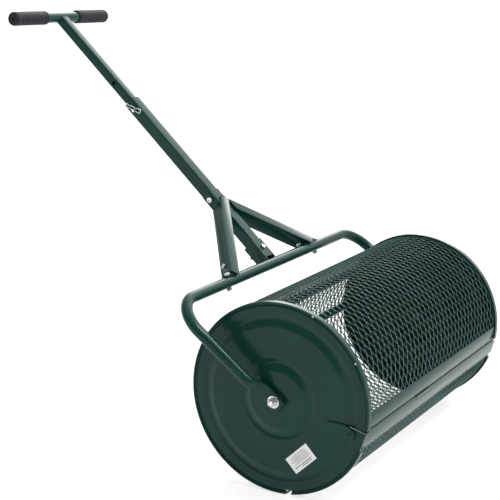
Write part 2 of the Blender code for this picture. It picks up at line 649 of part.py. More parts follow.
def build_cage():
    half_front, half_small = half_width_angle(FRONT_BAR_WIDTH), half_width_angle(SMALL_BAR_WIDTH)
    here = Vector((0, 0, 0))
    bar = flat_bar_mesh("front_edge_bar", FRONT_BAR_ANGLE, FRONT_BAR_WIDTH, -CAGE_END, CAGE_END)
    place("front_edge_bar", bar, green, drum_frame)
    bar = flat_bar_mesh("back_bar", BACK_BAR_ANGLE, SMALL_BAR_WIDTH, -CAGE_END, CAGE_END)
    place("back_bar", bar, green, drum_frame)
    ends = (-CAGE_END, CAGE_END)
    bar = flat_bar_mesh("back_strap", STRAP_ANGLE, STRAP_WIDTH, *ends, outer=STRAP_OUTER)
    place("back_strap", bar, green, drum_frame)
    spans = [(-0.2960, -0.2660), (-0.1000, -0.0700), (0.0700, 0.1000), (0.2660, 0.2960)]
    hinge_bar("hinge_edge_bar", FIXED_HINGE_BAR_ANGLE, spans, drum_frame, here)
    start, end = FIXED_HINGE_BAR_ANGLE + half_small, BACK_BAR_ANGLE - half_small
    start, end = start + BAR_GAP_ANGLE, end - BAR_GAP_ANGLE
    arc_sheet("rear_mesh", start, end, -CAGE_END, CAGE_END, mesh_green, drum_frame)
    start, end = BACK_BAR_ANGLE + half_small - 360, FRONT_BAR_ANGLE - half_front
    start, end = start + BAR_GAP_ANGLE, end - BAR_GAP_ANGLE
    arc_sheet("upper_mesh", start, end, -CAGE_END, CAGE_END, mesh_green, drum_frame)
    band_start, band_end = FIXED_HINGE_BAR_ANGLE - half_small - 360, FRONT_BAR_ANGLE + half_front
    for name, side in SIDES:
        low, high = sorted((side * BAND_START, side * BAND_END))
        arc_sheet(name + "_end_band", band_start, band_end, low, high, green, drum_frame)
    y, z = polar(HINGE_RADIUS, HINGE_ANGLE)
    rod = rod_mesh("hinge_rod", HINGE_ROD_RADIUS, -RIM_X - 0.0050, RIM_X + 0.0050, "X", 12)
    place("hinge_rod", rod, zinc, drum_frame, (0, y, z), smooth=True)


# Door and its turn latches. The door's own origin is on the hinge axis.


def build_door():
    offset = -hinge_at
    ear_end = RIM_X + EAR_INNER + EAR_THICKNESS
    bar_end = ear_end - 0.0004
    mesh = flat_bar_mesh("door_latch_bar", LATCH_BAR_ANGLE, LATCH_BAR_WIDTH, -bar_end, bar_end)
    piece = place("door_latch_bar", shift_mesh(mesh, offset), green, door_frame)
    for name, side in SIDES:
        low, high = sorted((side * (RIM_X + EAR_INNER), side * ear_end))
        top, half = BAR_OUTER - 0.0005, EAR_WIDTH / 2
        ear = box_mesh(name + "_door_ear", (low, top - EAR_DEPTH, -half), (high, top, half))
        ear.transform(Matrix.Rotation(math.radians(LATCH_BAR_ANGLE), 4, "X"))
        cutter(piece, shift_mesh(ear, offset), "UNION")
        for edge in (1, -1):
            low, high = sorted((side * BAND_END, side * 0.34))
            z_low, z_high = sorted((edge * (half + 0.0004), edge * 0.03))
            corners = ((low, BAR_OUTER - 0.02, z_low), (high, BAR_OUTER + 0.01, z_high))
            trim = box_mesh(f"{name}_bar_trim_{edge}", *corners)
            trim.transform(Matrix.Rotation(math.radians(LATCH_BAR_ANGLE), 4, "X"))
            cutter(piece, shift_mesh(trim, offset))
        y, z = polar(LATCH_PIVOT_RADIUS, LATCH_BAR_ANGLE)
        hole_at = (0, y + offset.y, z + offset.z)
        drill(piece, LATCH_PIN_RADIUS + HOLE_PLAY, side * 0.33 - 0.03, side * 0.33 + 0.03, "X", hole_at)
    spans = [(-0.2650, -0.2350), (-0.0690, -0.0390), (0.0390, 0.0690), (0.2350, 0.2650)]
    hinge_bar("door_hinge_bar", DOOR_HINGE_BAR_ANGLE, spans, door_frame, offset)
    half_latch, half_small = half_width_angle(LATCH_BAR_WIDTH), half_width_angle(SMALL_BAR_WIDTH)
    start = LATCH_BAR_ANGLE + half_latch + BAR_GAP_ANGLE
    end = DOOR_HINGE_BAR_ANGLE - half_small - BAR_GAP_ANGLE
    arc_sheet("door_mesh", start, end, -CAGE_END, CAGE_END, mesh_green, door_frame, offset)
    for name, side in SIDES:
        low, high = sorted((side * BAND_START, side * BAND_END))
        arc_sheet(f"door_{name}_band", start, end + 5.5, low, high, green, door_frame, offset)
    low = BAR_OUTER + GAP
    lip = box_mesh("door_finger_lip", (-0.1030, low, -0.0170), (-0.0410, low + 0.0010, -0.0120))
    lip.transform(Matrix.Rotation(math.radians(LATCH_BAR_ANGLE), 4, "X"))
    place("door_finger_lip", shift_mesh(lip, offset), green, door_frame)


def latch_mesh(name):
    """A tapered tab in the plane of the disc, its pivot at the origin and its rounded tip down -Y."""
    tip, half = 0.0070, 0.0130
    outline = [(0.0085, -half * 0.6), (0.0085, half * 0.6), (-0.0100, half), (-0.0200, half)]
    for i in range(7):
        angle = math.pi / 2 + math.pi * i / 6
        outline.append((-LATCH_LENGTH + tip + tip * math.cos(angle), tip * math.sin(angle)))
    outline += [(-0.0200, -half), (-0.0100, -half)]

    def build(bm):
        face = bm.faces.new([bm.verts.new((0, y, z)) for y, z in outline])
        made = bmesh.ops.extrude_face_region(bm, geom=[face])
        moved = [item for item in made["geom"] if isinstance(item, bmesh.types.BMVert)]
        bmesh.ops.translate(bm, vec=(LATCH_THICKNESS, 0, 0), verts=moved)
        bmesh.ops.recalc_face_normals(bm, faces=bm.faces)

    return mesh_of(name, build)


def build_latch(name, side):
    frame = latch_frames[name]
    mesh = latch_mesh(name + "_latch")
    start = LATCH_INNER if side > 0 else -LATCH_INNER - LATCH_THICKNESS
    mesh.transform(Matrix.Rotation(math.radians(LATCH_BAR_ANGLE), 4, "X"))
    shift_mesh(mesh, (side * RIM_X + start, 0, 0))
    piece = place(name + "_latch", mesh, green, frame)
    drill(piece, LATCH_PIN_RADIUS + HOLE_PLAY, side * 0.33 - 0.03, side * 0.33 + 0.03, "X", (0, 0, 0))
    inner, outer = EAR_INNER + 0.0002, LATCH_INNER + LATCH_THICKNESS + GAP
    rivet = [
        (0.0, outer + 0.0018),
        (0.0030, outer + 0.0016),
        (0.0050, outer),
        (LATCH_PIN_RADIUS, outer),
        (LATCH_PIN_RADIUS, inner),
        (0.0, inner),
    ]

    def build(bm):
        points = [bm.verts.new((radius, 0, height)) for radius, height in rivet]
        for first, second in zip(points, points[1:]):
            bm.edges.new((first, second))

    pin = place(name + "_latch_rivet", mesh_of(name + "_latch_rivet", build), green, door_frame)
    pin.location = (side * RIM_X, pivot_at.y, pivot_at.z)
    pin.rotation_euler = outward(side)
    screw = pin.modifiers.new("turn", "SCREW")
    screw.axis = "Z"
    screw.steps = 12
    screw.render_steps = 12
    screw.use_merge_vertices = True
    screw.merge_threshold = 0.00001
    screw.use_smooth_shade = False


clear_scene()
parts = new_collection(COLLECTION)
cutters = new_collection("cutters")

green = principled("green_paint", (0.030, 0.105, 0.085), 0.38, 0.0)
mesh_green = principled("mesh_green_paint", (0.030, 0.105, 0.085), 0.45, 0.0)
zinc = principled("zinc_plate", (0.72, 0.73, 0.74), 0.28, 1.0)
rubber = principled("grip_rubber", (0.055, 0.053, 0.065), 0.75, 0.0)
nylon = principled("bush_nylon", (0.03, 0.03, 0.03), 0.5, 0.0)
label_white = principled("label_white", (0.85, 0.86, 0.85), 0.45, 0.0)

axle_frame = empty("axle_frame", location=(0, AXLE_Y, AXLE_Z))
yoke_frame = empty("yoke_frame", axle_frame, rotation=(math.radians(FRAME_TILT), 0, 0))
tilt = math.radians(HANDLE_TILT)
drop = (0, HANDLE_DROP * math.sin(tilt), -HANDLE_DROP * math.cos(tilt))
handle_frame = empty("handle_frame", axle_frame, drop, (tilt, 0, 0))
twist_frame = empty("twist_frame", handle_frame, rotation=(0, math.radians(HANDLE_TWIST), 0))
drum_frame = empty("drum_frame", axle_frame)
hinge_at = Vector((0, *polar(HINGE_RADIUS, HINGE_ANGLE)))
door_frame = empty("door_frame", drum_frame, hinge_at)
pivot_at = Vector((0, *polar(LATCH_PIVOT_RADIUS, LATCH_BAR_ANGLE))) - hinge_at
latch_frames = {name: empty(name + "_latch_frame", door_frame, pivot_at) for name, side in SIDES}

build_yoke()
build_bracket()
build_lower_handle()
build_upper_handle()
build_pin()
build_label()
build_cage()
build_door()
for side_name, side_sign in SIDES:
    build_brace(side_name, side_sign)
    build_disc(side_name, side_sign)
    build_axle(side_name, side_sign)
    build_latch(side_name, side_sign)
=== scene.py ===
"""Looks of the mesh drum roller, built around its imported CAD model. Metres, +Z up, axle along X."""

import json
import math

import bmesh
import bpy
from mathutils import Euler, Matrix, Vector


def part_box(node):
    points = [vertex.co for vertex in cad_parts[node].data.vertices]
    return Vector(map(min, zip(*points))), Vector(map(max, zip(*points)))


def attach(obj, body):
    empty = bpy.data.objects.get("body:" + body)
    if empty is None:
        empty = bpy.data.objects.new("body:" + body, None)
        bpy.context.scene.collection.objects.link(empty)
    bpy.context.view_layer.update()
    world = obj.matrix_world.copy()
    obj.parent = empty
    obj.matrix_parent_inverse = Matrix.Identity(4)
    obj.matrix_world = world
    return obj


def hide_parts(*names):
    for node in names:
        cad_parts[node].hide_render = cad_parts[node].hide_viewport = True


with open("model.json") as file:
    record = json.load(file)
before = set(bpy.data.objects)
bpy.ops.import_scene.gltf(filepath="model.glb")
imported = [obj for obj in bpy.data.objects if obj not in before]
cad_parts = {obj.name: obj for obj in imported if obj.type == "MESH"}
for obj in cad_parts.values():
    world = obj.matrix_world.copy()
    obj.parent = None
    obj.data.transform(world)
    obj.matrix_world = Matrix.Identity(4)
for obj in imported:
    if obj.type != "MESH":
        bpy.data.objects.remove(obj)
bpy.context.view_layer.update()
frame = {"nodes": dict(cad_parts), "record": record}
nodes = frame["nodes"]
body_of = {}
for body_name, members in frame["record"]["behaviour"]["bodies"].items():
    for member in members:
        body_of[member] = body_name

# Sizes that the CAD model also has. Angles round the axle are in degrees, from the back upwards.
disc_low, disc_high = (Vector(corner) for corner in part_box("left_disc"))
AXLE = Vector((0, (disc_low.y + disc_high.y) / 2, (disc_low.z + disc_high.z) / 2))
RIM_X = 0.317
DISC_SHEET = 0.0015
MESH_RADIUS = 0.1770
CAGE_END = 0.3049  # half length of the cage's mesh
BAND_START, BAND_END = 0.3052, 0.3107
BAR_OUTER = 0.1775
FRONT_BAR_ANGLE, FRONT_BAR_WIDTH = 184.1, 0.0285
LATCH_BAR_ANGLE, LATCH_BAR_WIDTH = 195.1, 0.0350
DOOR_HINGE_BAR_ANGLE, FIXED_HINGE_BAR_ANGLE, BACK_BAR_ANGLE = 258.4, 268.2, 359.5
SMALL_BAR_WIDTH = 0.0200
BAR_GAP_ANGLE = 0.25  # mesh stops this far from a bar
HINGE_ANGLE = 263.3
FRAME_TILT = math.radians(40.5)
HANDLE_TILT = math.radians(43.0)
HANDLE_DROP = 0.0182  # the handle's axis passes this far under the axle
HANDLE_TWIST = math.radians(2.7)  # the inner tube's play in the outer one
YOKE_REACH, YOKE_RADIUS, YOKE_BEND = 0.2479, 0.0110, 0.0620
LEG_LOW_X, LEG_LOW_REACH = 0.3562, 0.0600
PLATE_THICKNESS, PLATE_WIDTH, PLATE_END, PLATE_INNER = 0.0050, 0.0270, -0.0170, 0.0163
PIN_AT, HOLE_PITCH, PIN_RADIUS = 0.6847, 0.0771, 0.0035
OUTER_TUBE, INNER_TUBE, TUBE_WALL = 0.0260, 0.0200, 0.0015
OUTER_START, OUTER_END, INNER_START, T_BAR_AT = 0.2640, 0.7085, 0.5200, 0.9563
T_BAR_RADIUS, T_BAR_WALL, T_BAR_HALF = 0.0110, 0.0015, 0.1600
GRIP_RADIUS, GRIP_START, GRIP_END = 0.0150, 0.0552, 0.1642
AXLE_BOLT, APEX_BOLT, SMALL_BOLT = 0.0050, 0.0035, 0.0030  # shank radii
APEX_BOLT_AT, BRACKET_BOLT_AT, BRACKET_WALL = 0.4320, 0.2870, 0.0025
BRACE_HEAD, BRACE_FOOT = (0.0160, 0.4120), (0.1700, 0.2620)  # the outer top edge's ends
BRACE_WIDTH, BRACE_BOLT_AT = 0.0210, 0.0272  # the bolt, up from the brace's foot
LUG_X, LUG_SEAT = 0.1800, 0.0141  # the lug bolt's head, off the yoke's centre line
FIT_GAP = 0.0003  # between pieces that touch

AXLE_FRAME = Matrix.Translation(AXLE)
YOKE_FRAME = AXLE_FRAME @ Matrix.Rotation(FRAME_TILT, 4, "X")
HANDLE_SHIFT = Vector((0, math.sin(HANDLE_TILT), -math.cos(HANDLE_TILT))) * HANDLE_DROP
HANDLE_FRAME = AXLE_FRAME @ Matrix.Translation(HANDLE_SHIFT) @ Matrix.Rotation(HANDLE_TILT, 4, "X")
TWIST_FRAME = HANDLE_FRAME @ Matrix.Rotation(HANDLE_TWIST, 4, "Y")
ACROSS = Matrix.Rotation(math.pi / 2, 4, "Y")  # turns a piece made along +Z to lie along +X
SIDES = (("left", -1), ("right", 1))
SHARP_EDGE = math.radians(32)
SAME_POINT = 1e-6


# Materials.


class Graph:
    """Small helper for building one material's nodes."""

    def __init__(self, name):
        self.material = bpy.data.materials.new(name)
        self.material.use_nodes = True
        self.tree = self.material.node_tree
        self.shader = self.tree.nodes["Principled BSDF"]

    def add(self, kind, **values):
        node = self.tree.nodes.new(kind)
        for socket, value in values.items():
            node.inputs[socket].default_value = value
        return node

    def link(self, start, end):
        self.tree.links.new(start, end)

    def noise(self, scale, detail=2.0, roughness=0.5):
        where = self.add("ShaderNodeTexCoord").outputs["Object"]
        node = self.add("ShaderNodeTexNoise", Scale=scale, Detail=detail, Roughness=roughness)
        self.link(where, node.inputs["Vector"])
        return node.outputs["Fac"]

    def ramp(self, source, stops):
        """A tone between two (position, colour) stops."""
        node = self.add("ShaderNodeValToRGB")
        for element, (position, color) in zip(node.color_ramp.elements, stops):
            element.position, element.color = position, (*color, 1.0)
        self.link(source, node.inputs["Fac"])
        return node.outputs["Color"]

    def level(self, source, low, high):
        node = self.add("ShaderNodeMapRange")
        node.inputs["To Min"].default_value = low
        node.inputs["To Max"].default_value = high
        self.link(source, node.inputs["Value"])
        return node.outputs["Result"]

    def bump(self, source, strength, distance, before=None):
        node = self.add("ShaderNodeBump")
        node.inputs["Strength"].default_value = strength
        node.inputs["Distance"].default_value = distance
        self.link(source, node.inputs["Height"])
        if before is not None:
            self.link(before, node.inputs["Normal"])
        return node.outputs["Normal"]

    def finish(self, color=None, roughness=None, normal=None, **values):
        for key, value in values.items():
            self.shader.inputs[key.replace("_", " ")].default_value = value
        for source, socket in ((color, "Base Color"), (roughness, "Roughness"), (normal, "Normal")):
            if source is not None:
                self.link(source, self.shader.inputs[socket])
        return self.material


def paint(name, tones, gloss, peel, shine):
    """Stoved enamel: a little orange peel, faint unevenness in tone and gloss."""
    graph = Graph(name)
    tone = graph.ramp(graph.noise(scale=9.0, detail=4.0), ((0.30, tones[0]), (0.72, tones[1])))
    rough = graph.level(graph.noise(scale=38.0, detail=5.0, roughness=0.6), *gloss)
    fine = graph.bump(graph.noise(scale=520.0), strength=peel, distance=0.0004)
    normal = graph.bump(graph.noise(scale=70.0), strength=peel * 0.8, distance=0.0012, before=fine)
    return graph.finish(tone, rough, normal, Specular_IOR_Level=shine)


def bright_metal(name, gloss, metallic=1.0):
    """Bright zinc, and light bare steel that on some edges is a painted highlight: a little brushing and
    mottling.
    """
    graph = Graph(name)
    mottle = graph.noise(scale=160.0, detail=5.0, roughness=0.7)
    tone = graph.ramp(mottle, ((0.25, (0.50, 0.51, 0.53)), (0.75, (0.78, 0.79, 0.80))))
    rough = graph.level(graph.noise(scale=420.0, detail=3.0), *gloss)
    normal = graph.bump(graph.noise(scale=900.0), strength=0.10, distance=0.0002)
    return graph.finish(tone, rough, normal, Metallic=metallic)


def rubber(name):
    """Moulded grip rubber: fine matt grain."""
    graph = Graph(name)
    stops = ((0.3, (0.013, 0.012, 0.018)), (0.7, (0.021, 0.019, 0.027)))
    tone = graph.ramp(graph.noise(scale=60.0, detail=4.0), stops)
    rough = graph.level(graph.noise(scale=240.0, detail=3.0), 0.52, 0.72)
    normal = graph.bump(graph.noise(scale=1500.0), strength=0.35, distance=0.0003)
    return graph.finish(tone, rough, normal, Specular_IOR_Level=0.25)


def plastic(name):
    """Dark moulded nylon."""
    graph = Graph(name)
    stops = ((0.3, (0.014, 0.014, 0.015)), (0.7, (0.024, 0.024, 0.025)))
    tone = graph.ramp(graph.noise(scale=90.0, detail=3.0), stops)
    rough = graph.level(graph.noise(scale=300.0, detail=3.0), 0.38, 0.52)
    return graph.finish(tone, rough, graph.bump(graph.noise(scale=900.0), strength=0.15, distance=0.0002))


def sticker(name):
    """Coated paper, very slightly uneven."""
    graph = Graph(name)
    stops = ((0.3, (0.84, 0.85, 0.85)), (0.7, (0.93, 0.94, 0.94)))
    tone = graph.ramp(graph.noise(scale=140.0, detail=4.0), stops)
    rough = graph.level(graph.noise(scale=320.0, detail=3.0), 0.32, 0.46)
    normal = graph.bump(graph.noise(scale=420.0, detail=3.0), strength=0.12, distance=0.0003)
    return graph.finish(tone, rough, normal)


def print_grey(name):
    """Flat grey ink."""
    graph = Graph(name)
    stops = ((0.3, (0.13, 0.14, 0.14)), (0.7, (0.22, 0.23, 0.23)))
    tone = graph.ramp(graph.noise(scale=600.0, detail=3.0), stops)
    return graph.finish(tone, graph.level(graph.noise(scale=320.0, detail=3.0), 0.40, 0.50))


OUTSIDE_TONES = ((0.0045, 0.0380, 0.0310), (0.0070, 0.0470, 0.0385))
# The mesh's green is lighter than the other enamel; part of that lightness is painted highlight on its
# strands.
MESH_TONES_WITH_HIGHLIGHT = ((0.0300, 0.0980, 0.0860), (0.0430, 0.1230, 0.1090))
# The discs' inner faces: green darkened as painted shade for the dim inside of the drum.
INSIDE_SHADE_TONES = ((0.0015, 0.0120, 0.0095), (0.0025, 0.0160, 0.0130))
GREEN = paint("green_enamel", OUTSIDE_TONES, gloss=(0.15, 0.25), peel=0.04, shine=0.19)
MESH_GREEN_WITH_HIGHLIGHT = paint("mesh_enamel_with_highlight", MESH_TONES_WITH_HIGHLIGHT, gloss=(0.24, 0.36), peel=0.08, shine=0.60)
SHADE_INSIDE_GREEN = paint("inside_enamel_painted_shade", INSIDE_SHADE_TONES, gloss=(0.30, 0.42), peel=0.04, shine=0.10)
ZINC = bright_metal("zinc_plate", gloss=(0.16, 0.36))
# Light bare steel; on the latch bar's bent-end edges it is a painted highlight.
BARE_STEEL_AND_HIGHLIGHT = bright_metal("bare_steel_and_highlight", gloss=(0.45, 0.60), metallic=0.3)
RUBBER = rubber("grip_rubber")
NYLON = plastic("bush_nylon")
STICKER = sticker("label_paper")
PRINT = print_grey("label_grey")
SLOT_OF = {entry["node"]: entry["material_slot"] for entry in frame["record"]["subparts"]}
MATERIAL_OF_SLOT = {
    "green_paint": GREEN,
    "mesh_green_paint": MESH_GREEN_WITH_HIGHLIGHT,
    "zinc_plate": ZINC,
    "grip_rubber": RUBBER,
    "bush_nylon": NYLON,
    "label_white": STICKER,
}


# Building pieces.


def shade(mesh):
    """Smooth shading with sharp edges left sharp."""
    mesh.shade_smooth()
    mesh.set_sharp_from_angle(angle=SHARP_EDGE)


def add_piece(name, mesh, node, material=None, smooth=True, replaces=True):
    """A visible piece that rides with a CAD node's body and, unless it is an extra, stands for that node."""
    piece = bpy.data.objects.new(name, mesh)
    bpy.context.scene.collection.objects.link(piece)
    mesh.materials.clear()
    mesh.materials.append(material or MATERIAL_OF_SLOT[SLOT_OF[node]])
    if smooth:
        shade(mesh)
    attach(piece, body_of[node])
    if replaces:
        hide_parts(node)
    return piece


def mark_faces(piece, material, chosen):
    """Gives a piece a second material on the faces that `chosen` picks."""
    piece.data.materials.append(material)
    for face in piece.data.polygons:
        face.material_index = 1 if chosen(face) else 0


def mesh_of(name, build, matrix=None):
    mesh = bpy.data.meshes.new(name)
    bm = bmesh.new()
    build(bm)
    bm.normal_update()
    bm.to_mesh(mesh)
    bm.free()
    if matrix is not None:
        mesh.transform(matrix)
    return mesh


def loft_mesh(name, rings, closed_along=False, matrix=None):
    """Quads between rings; open ends get caps."""

    def build(bm):
        made = [[bm.verts.new(point) for point in ring] for ring in rings]
        pairs = list(zip(made, made[1:]))
        if closed_along:
            pairs.append((made[-1], made[0]))
        for first, second in pairs:
            for i in range(len(first)):
                j = (i + 1) % len(first)
                bm.faces.new((first[i], first[j], second[j], second[i]))
        if not closed_along:
            bm.faces.new(list(reversed(made[0])))
            bm.faces.new(made[-1])
        bmesh.ops.recalc_face_normals(bm, faces=bm.faces)

    return mesh_of(name, build, matrix)


def turned_mesh(name, profile, steps, matrix=None):
    """A closed (radius, height) outline turned about Z."""

    def build(bm):
        made = []
        for i in range(steps):
            angle = 2 * math.pi * i / steps
            made.append([bm.verts.new((r * math.cos(angle), r * math.sin(angle), h)) for r, h in profile])
        for k in range(steps):
            here, there = made[k], made[(k + 1) % steps]
            for i in range(len(profile)):
                j = (i + 1) % len(profile)
                bm.faces.new((here[i], here[j], there[j], there[i]))
        bmesh.ops.remove_doubles(bm, verts=bm.verts, dist=SAME_POINT)
        bmesh.ops.recalc_face_normals(bm, faces=bm.faces)

    return mesh_of(name, build, matrix)


def outward(side, x):
    """Places a piece made along +Z so that it points out of the drum on that side."""
    return AXLE_FRAME @ Matrix.Translation((x, 0, 0)) @ Matrix.Rotation(side * math.pi / 2, 4, "Y")


def refined(node, bevel, segments=2, material=None):
    """The CAD node with its edges rounded, as pressed or rolled metal has them."""
    flat, edge = math.radians(0.6), math.radians(28)
    bm = bmesh.new()
    bm.from_mesh(nodes[node].data)
    bmesh.ops.remove_doubles(bm, verts=bm.verts, dist=SAME_POINT)
    bmesh.ops.dissolve_limit(bm, angle_limit=flat, verts=bm.verts, edges=bm.edges)
    mesh = bpy.data.meshes.new(node + "_looks")
    bm.to_mesh(mesh)
    bm.free()
    piece = add_piece(node + "_looks", mesh, node, material, smooth=False)
    mesh.shade_smooth()
    modifier = piece.modifiers.new("edges", "BEVEL")
    modifier.width = bevel
    modifier.segments = segments
    modifier.limit_method = "ANGLE"
    modifier.angle_limit = edge
    modifier.harden_normals = True
    modifier.use_clamp_overlap = True
    return piece


def cut(piece, mesh):
    """Takes the shape of `mesh` out of a piece."""
    tool = bpy.data.objects.new(mesh.name, mesh)
    bpy.context.scene.collection.objects.link(tool)
    modifier = piece.modifiers.new("cut", "BOOLEAN")
    modifier.operation = "DIFFERENCE"
    modifier.solver = "EXACT"
    modifier.object = tool
    bpy.context.view_layer.update()
    evaluated = piece.evaluated_get(bpy.context.evaluated_depsgraph_get())
    result = bpy.data.meshes.new_from_object(evaluated)
    piece.modifiers.clear()
    old = piece.data
    piece.data = result
    bpy.data.meshes.remove(old)
    bpy.data.objects.remove(tool)


def cylinder_mesh(name, radius, low, high, steps, matrix):
    rings = []
    for height in (low, high):
        angles = [2 * math.pi * i / steps for i in range(steps)]
        rings.append([(radius * math.cos(a), radius * math.sin(a), height) for a in angles])
    return loft_mesh(name, rings, matrix=matrix)


def box_mesh(name, low, high, matrix):
    low, high = Vector(low), Vector(high)

    def build(bm):
        bmesh.ops.create_cube(bm, size=1.0)
        bmesh.ops.scale(bm, vec=high - low, verts=bm.verts)
        bmesh.ops.translate(bm, vec=(low + high) / 2, verts=bm.verts)

    return mesh_of(name, build, matrix)


def polar(radius, angle):
    """The (y, z) of a point round the axle."""
    return radius * math.cos(math.radians(angle)), radius * math.sin(math.radians(angle))


# Expanded mesh.

DIAMOND_X = 0.0182  # pitch along the axle
DIAMOND_TURN = 10.9  # pitch round the drum, degrees
STRAND = 0.0025  # a strand's width
STRAND_THICKNESS = 0.0010
STRAND_TILT = 0.0009  # how far a strand's inner edge stands out of the sheet
HOLE_FLAT = 0.0012  # half height of a hole's blunt side corner
MESH_MIDDLE = 0.1757  # radius of the sheet's middle
CELL_WELD = 2e-5  # neighbouring diamonds' points closer than this are one
NO_LENGTH = 1e-7


def diamond_cell(half_x, half_y):
    """One diamond's hole and outer edge, as matching runs of points, and the hole's half length."""
    slope = math.hypot(half_x, half_y)
    tip = half_y - STRAND / 2 * slope / half_x
    side = half_x - STRAND / 2 * slope / half_y
    shoulder = side - HOLE_FLAT * half_x / half_y
    curve = ((0.0, tip), (side * 0.30, tip * 0.74), (side * 0.66, tip * 0.40), (shoulder, HOLE_FLAT))
    hole, rim = [], []
    for sx, sy, forward in ((1, 1, True), (1, -1, False), (-1, -1, True), (-1, 1, False)):
        run = list(zip(curve, (0.0, 1 / 3, 2 / 3, 1.0)))
        for (x, y), share in run if forward else reversed(run):
            hole.append((sx * x, sy * y))
            rim.append((sx * half_x * share, sy * half_y * (1 - share)))
    return hole, rim, side


def expanded_mesh(node, low_x, high_x, start, end):
    """Diamond mesh rolled round the drum, each strand twisted across the sheet."""
    half_x, half_y = DIAMOND_X / 2, math.radians(DIAMOND_TURN) * MESH_MIDDLE / 2
    hole, rim, side = diamond_cell(half_x, half_y)
    bm = bmesh.new()
    rows = range(math.floor(start / DIAMOND_TURN * 2) - 1, math.ceil(end / DIAMOND_TURN * 2) + 2)
    columns = math.ceil((high_x - low_x) / DIAMOND_X) + 2
    for row in rows:
        for column in range(-1, columns):
            shift = 0.5 if row % 2 else 0.0
            centre = Vector((low_x + (column + shift) * DIAMOND_X, row * half_y, 0.0))
            inner, outer = [], []
            for (x, y), (rx, ry) in zip(hole, rim):
                tilt = STRAND_TILT * max(-1.0, min(1.0, 2 * x / side))
                inner.append(bm.verts.new(centre + Vector((x, y, tilt))))
                outer.append(bm.verts.new(centre + Vector((rx, ry, 0.0))))
            for i in range(len(hole)):
                j = (i + 1) % len(hole)
                if (inner[i].co - inner[j].co).length < NO_LENGTH:
                    continue
                if (outer[i].co - outer[j].co).length < NO_LENGTH:
                    bm.faces.new((inner[i], inner[j], outer[j]))
                else:
                    bm.faces.new((inner[i], inner[j], outer[j], outer[i]))
    bmesh.ops.remove_doubles(bm, verts=bm.verts, dist=CELL_WELD)
    low_y, high_y = (math.radians(angle) * MESH_MIDDLE for angle in (start, end))
    limits = (((low_x, 0, 0), (-1, 0, 0)), ((high_x, 0, 0), (1, 0, 0)))
    limits += (((0, low_y, 0), (0, -1, 0)), ((0, high_y, 0), (0, 1, 0)))
    for point, normal in limits:
        everything = list(bm.verts) + list(bm.edges) + list(bm.faces)
        plane = {"plane_co": point, "plane_no": normal, "clear_outer": True}
        bmesh.ops.bisect_plane(bm, geom=everything, dist=SAME_POINT, **plane)
    bmesh.ops.recalc_face_normals(bm, faces=bm.faces)
    for vertex in bm.verts:
        angle = vertex.co.y / MESH_MIDDLE
        radius = MESH_MIDDLE + vertex.co.z
        vertex.co = AXLE + Vector((vertex.co.x, radius * math.cos(angle), radius * math.sin(angle)))
    mesh = bpy.data.meshes.new(node + "_looks")
    bm.to_mesh(mesh)
    bm.free()
    piece = add_piece(node + "_looks", mesh, node, smooth=False)
    solidify = piece.modifiers.new("thickness", "SOLIDIFY")
    solidify.thickness = STRAND_THICKNESS
    solidify.offset = 0.0


# Drum.


DISC_FACE = (  # (radius, height outside the rim plane)
    (0.0085, 0.0100),  # hub
    (0.0540, 0.0100),
    (0.0620, 0.0062),  # inner pressed ring
    (0.0690, 0.0040),
    (0.0760, 0.0066),
    (0.1000, 0.0068),  # web
    (0.1350, 0.0068),
    (0.1430, 0.0034),  # outer pressed ring
    (0.1500, 0.0014),
    (0.1570, 0.0038),
    (0.1722, 0.0037),  # shoulder
    (0.1744, 0.0020),
    (0.1760, 0.0024),
    (0.1768, 0.0060),  # rolled rim
    (0.1788, 0.0064),
    (0.1800, 0.0052),
    (0.1800, -0.0060),
)
RIM_INSIDE = ((0.1785, -0.0060), (0.1785, 0.0002), (0.1762, 0.0008))
SHEET_END = 0.1750  # inside this radius the disc's inner face follows its outer one
DISC_TURNS = 192
LATCH_NOTCH_HALF, LATCH_NOTCH_BOTTOM, LATCH_NOTCH_TURN = 0.0215, 0.1745, 0.8
HINGE_NOTCH_HALF, HINGE_NOTCH_BOTTOM, HINGE_NOTCH_TURN = 0.0060, 0.1700, -0.6
RIM_WELD_ANGLES, RIM_WELD_RADIUS = (112.8, 149.1), 0.1778
RIM_WELD = ((0.0, 0.0055), (0.0017, 0.0055), (0.0017, 0.0066), (0.0011, 0.0071), (0.0, 0.0072))


def smooth_profile(points):
    """Rounds a (radius, height) polyline's corners with short curves."""
    result = [points[0]]
    for before, here, after in zip(points, points[1:], points[2:]):
        a, b, c = Vector(before), Vector(here), Vector(after)
        reach = min((a - b).length, (c - b).length) * 0.42
        start, end = b + (a - b).normalized() * reach, b + (c - b).normalized() * reach
        for t in (0.0, 0.25, 0.5, 0.75, 1.0):
            point = start * (1 - t) ** 2 + b * 2 * t * (1 - t) + end * t**2
            result.append((point.x, point.y))
    result.append(points[-1])
    return result


def cut_notch(piece, side, name, angle, bottom, half_width):
    """A notch in a disc's rim, open outwards."""
    here = AXLE_FRAME @ Matrix.Translation((side * RIM_X, 0, 0))
    turn = Matrix.Rotation(math.radians(angle), 4, "X")
    cut(piece, box_mesh(name, (-0.02, bottom, -half_width), (0.02, 0.20, half_width), here @ turn))


